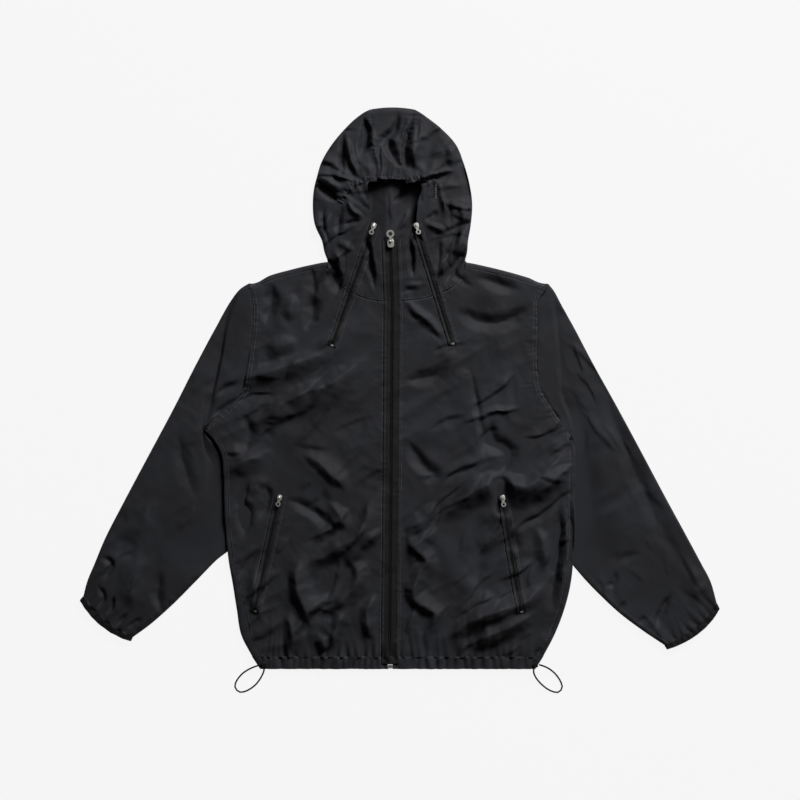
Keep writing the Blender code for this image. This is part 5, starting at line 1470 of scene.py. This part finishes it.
def make_allowances(cloth):
    """Seam allowances inside the jacket: flat strips at one height that close the seams to the light."""
    for strip in ALLOWANCES:
        route = curved(strip.path, 4.0)
        offsets = np.linspace(-strip.half, strip.half, 3) * MM
        plan_points = beside(route, offsets)
        height = np.full(plan_points.shape[:2] + (1,), strip.height * MM)
        fine = np.concatenate([plan_points, height], axis=2)
        cells = np.ones((len(route) - 1, len(offsets) - 1), bool)
        piece = wall(strip.name, fine, cells, walked(route), offsets, ALLOWANCE_CLOTH, cloth)
        dress(piece, "shell_cloth")


def make_hem(cloth):
    """Hem casing at the back and on each front."""
    for name, seam_line in (("hem_back", hem_back_line()),
                            ("hem_front_right", hem_front_line(RIGHT_SIDE, LEFT_SIDE, -1)),
                            ("hem_front_left", hem_front_line(LEFT_SIDE, RIGHT_SIDE, 1))):
        fine, cells, down, over = fine_grid(hem_rows(seam_line), HEM_STEP)
        band = wall(name + "_band", settle(fine, body_relief), cells, down, over, HEM_CLOTH, cloth)
        remember(band)
        dress(band, "shell_cloth", name)


def sleeve_relief(table, seams, folds, seed):
    """Relief of one sleeve, from its own tables."""
    def relief(xy):
        return crumple(xy, seed) * 0.8 + creases(xy, table) + gathers(xy, seams) + steps(xy, folds)
    return relief


def make_sleeves(cloth, binding):
    """Two sleeves as flattened tubes, each with its elastic cuff binding."""
    for name, side, tip, table, edge, relief in (
            ("right", RIGHT_SIDE, SHOULDER_TIP_RIGHT, RIGHT_SLEEVE, CUFF_EDGE_RIGHT,
             sleeve_relief(RIGHT_SLEEVE_CREASES, RIGHT_SLEEVE_SEAMS, RIGHT_SLEEVE_STEPS, 31)),
            ("left", LEFT_SIDE, SHOULDER_TIP_LEFT, LEFT_SLEEVE, CUFF_EDGE_LEFT,
             sleeve_relief(LEFT_SLEEVE_CREASES, LEFT_SLEEVE_SEAMS, LEFT_SLEEVE_STEPS, 47))):
        rings, shares = sleeve_rings(side, tip, table)
        fine, cells, down, over = fine_grid(rings, SLEEVE_STEP, ring=True)
        fine = settle(fine, relief, full=SLEEVE_RISE)
        sleeve = wall("sleeve_" + name + "_tube", fine, cells, down, over, CLOTH, cloth, ring=True)
        dress(sleeve, "shell_cloth", "sleeve_" + name)
        fine, cells, down, over = fine_grid(cuff_rings(table[-1], edge, shares), CUFF_STEP, ring=True)
        fine = settle(fine, relief, full=SLEEVE_RISE)
        cuff = wall("cuff_" + name + "_binding", fine, cells, down, over, BINDING, binding, ring=True)
        dress(cuff, "elastic_binding", "cuff_" + name)


def ruffle(along, across):
    """Height of the gathered cloth on the elastic of the face opening."""
    wave = grain(along / (3.6 * MM) + across * 0, across / (9 * MM) + along * 0, 71)
    return wave * 1.9 * MM + 0.8 * MM * (1 - (across / (0.5 * BRIM_WIDTH)) ** 2)


def make_hood(cloth):
    """Hood sides, centre strip, chin panels and the casing round the face opening."""
    for name, rows in (("hood_side_right", [hood_row(row) for row in RIGHT_HOOD]),
                       ("hood_side_left", [hood_row(row) for row in LEFT_HOOD]),
                       ("hood_centre", hood_centre_rows())):
        fine, cells, down, over = fine_grid(rows, HOOD_STEP)
        fine = hood_inside(settle(fine, body_relief))
        panel = wall(name + "_panel", fine, cells, down, over, CLOTH, cloth)
        remember(panel)
        dress(panel, "shell_cloth", name)
    for name, rows in (("chin_right", chin_rows(CHIN_BOTTOM_RIGHT, CHIN_TOP_RIGHT)),
                       ("chin_left", chin_rows(CHIN_BOTTOM_LEFT, CHIN_TOP_LEFT))):
        panel = upper_piece(name + "_panel", rows, cloth, CHIN_STEP)
        dress(panel, "shell_cloth", name)
    brim = ribbon("face_casing_ruffle", curved(BRIM, 1.2), np.linspace(-0.5, 0.5, 7) * BRIM_WIDTH,
                  CASING_LIFT, CASING_CLOTH, cloth, ruffle)
    dress(brim, "elastic_binding", "face_casing")


def lip_shape(along, across):
    """Height of the cloth's folded lip over a tape's edge: rounded and a little uneven."""
    uneven = grain(along / (4 * MM) + across * 0, across * 0 + along * 0, 88)
    return 0.4 * MM * (1 - (across / LIP_HALF) ** 2) + 0.35 * MM * uneven


def make_zips(cloth, tape_cloth, nickel):
    """Tapes, teeth and cloth lips of the five zips; sliders, pulls and the stop keep the CAD's shapes."""
    for spec in ZIPS:
        route = routed(plan(spec.top), plan(spec.bottom), 2.0 * MM, spec.name)
        half = spec.tape * MM / 2
        tape = ribbon(spec.name + "_woven_tape", route, np.linspace(-half, half, 9),
                      TAPE_LIFT, TAPE_CLOTH, tape_cloth)
        dress(tape, "zip_tape", spec.name + "_tape")
        teeth = []
        for sign in (-1, 1):
            side_route = offset_route(route[3:-2], sign * spec.coil * MM * 0.24)
            teeth += along_cloth(side_route, TOOTH_SPACING, TOOTH_LIFT, math.pi / 2 + sign * TOOTH_TURN)
        tooth = bead(spec.coil * MM * 0.55, 1.1 * MM, 0.7 * MM)
        coil = stamp(spec.name + "_coil_teeth", tooth, teeth, tape_cloth)
        dress(coil, "zip_tape", spec.name + "_coil")
        for label, place in (("left", half - LIP_INSET), ("right", LIP_INSET - half)):
            lip = ribbon(spec.name + "_lip_" + label, offset_route(route, place),
                         np.linspace(-1, 1, 5) * LIP_HALF, LIP_LIFT, CLOTH, cloth, lip_shape)
            dress(lip, "shell_cloth")
        for part in ("_slider", "_pull"):
            repaint(spec.name + part, nickel)
    repaint("zip_stop", nickel)


def make_seams(thread):
    """Topstitching beside the seams and on both sides of every zip."""
    routes = []
    for points, distances in TOPSTITCHED:
        routes += [offset_route(curved(points, 3.0), distance * MM) for distance in distances]
    for spec in ZIPS:
        route = routed(plan(spec.top), plan(spec.bottom), 3.0 * MM, spec.name)
        routes += [offset_route(route, sign * (spec.tape / 2 + STITCH_PAST_TAPE) * MM) for sign in (-1, 1)]
    places = []
    for route in routes:
        places += along_cloth(route, STITCH_SPACING, 0.02 * MM)
    dress(stamp("topstitching", bead(*STITCH), places, thread), "shell_cloth")


def make_tacks(thread):
    """Close bars of stitches over the zips' lower ends, and the short row beside the face opening."""
    places = []
    for spec in ZIPS[1:]:
        top, bottom = plan(spec.top), plan(spec.bottom)
        way = (top - bottom).normalized()
        side = Vector((-way.y, way.x)) * TACK_HALF
        for k in range(3):
            middle = bottom + way * (k - 0.5) * MM
            bar = np.array([(middle - side)[:], middle[:], (middle + side)[:]])
            places += along_cloth(bar, 1.5 * MM, 0.9 * MM)
    start, end = HOOD_TACKS
    places += along_cloth(routed(plan(start), plan(end), 2 * MM), 3.0 * MM, 0.5 * MM)
    dress(stamp("bar_tacks", bead(*TACK), places, thread), "shell_cloth")


def make_cords(cord_cloth):
    """Drawcord loops at the hem's ends, as round cords along their routes."""
    for name, points in (("drawcord_right", CORD_RIGHT), ("drawcord_left", CORD_LEFT)):
        route = through([Vector(point) * MM for point in points], CORD_STEP)
        curve = bpy.data.curves.new(name + "_braid", "CURVE")
        curve.dimensions = "3D"
        curve.bevel_depth = CORD_DIAMETER / 2
        curve.bevel_resolution = 4
        curve.use_fill_caps = True
        spline = curve.splines.new("POLY")
        spline.points.add(len(route) - 1)
        for target, point in zip(spline.points, route):
            target.co = (*point, 1.0)
        curve.materials.append(cord_cloth)
        cord = bpy.data.objects.new(name + "_braid", curve)
        bpy.context.collection.objects.link(cord)
        dress(cord, "cord", name)


# Stage, lights and camera -------------------------------------------------------------------------
def make_stage():
    """Pale floor that is bright mostly by its own even light, so that the jacket's shadow on it is faint."""
    material = new_material("pale_floor", {
        "Base Color": linear("303030"), "Roughness": 1.0, "Specular IOR Level": 0.0,
        "Emission Color": linear("f7f7f7"), "Emission Strength": 0.965})[0]
    corners = [(x * FLOOR_HALF, y * FLOOR_HALF, FLOOR_Z) for x, y in ((-1, -1), (1, -1), (1, 1), (-1, 1))]
    floor = mesh_piece("floor", corners, [(0, 1, 2, 3)], None, material)


def add_light(spec):
    """Square area light that faces the origin."""
    data = bpy.data.lights.new(spec.name, "AREA")
    data.shape = "RECTANGLE"
    data.size = spec.edge
    data.size_y = spec.edge
    data.energy = spec.power
    light = bpy.data.objects.new(spec.name, data)
    bpy.context.collection.objects.link(light)
    light.location = spec.place
    light.rotation_euler = (-Vector(spec.place)).to_track_quat("-Z", "Y").to_euler()


def make_light_and_camera():
    """Dim even surroundings, the lights, and a camera straight above."""
    scene = bpy.context.scene
    world = bpy.data.worlds.new("studio")
    scene.world = world
    world.use_nodes = True
    background = world.node_tree.nodes["Background"]
    background.inputs["Color"].default_value = linear("f2f4f6")
    background.inputs["Strength"].default_value = WORLD_STRENGTH
    for spec in LIGHTS:
        add_light(spec)
    data = bpy.data.cameras.new("camera")
    data.lens = LENS
    data.sensor_width = SENSOR
    data.clip_end = FARTHEST
    camera = bpy.data.objects.new("camera", data)
    bpy.context.collection.objects.link(camera)
    camera.location = CAMERA_PLACE
    scene.camera = camera
    scene.view_settings.view_transform = "Standard"


def make_jacket():
    """All pieces with their materials; later ones lie on the panels that are already there."""
    cloth = nylon_taffeta()
    tape_cloth = woven_trim("polyester_zip_tape", "101012", 0.0009, 0.75)
    binding = woven_trim("ribbed_elastic", "09090a", 0.0012)
    cord_cloth = woven_trim("braided_cord", "08080a", 0.0009, 0.8)
    nickel = polished_nickel()
    make_cords(cord_cloth)
    make_allowances(cloth)
    make_body(cloth)
    make_hem(cloth)
    make_sleeves(cloth, binding)
    make_hood(cloth)
    make_zips(cloth, tape_cloth, nickel)
    # the topstitching thread is drawn light grey: partly its own colour, partly a painted highlight for the
    # light that the stitched seam edges catch
    make_seams(woven_trim("polyester_thread", "5a5a60", 0.0005, 0.5))
    make_tacks(woven_trim("pale_bar_tack_thread", "9a9a96", 0.0005, 0.5))
    repaint("cord_tab_right", binding)
    repaint("cord_tab_left", binding)


make_light_and_camera()
make_stage()
make_jacket()
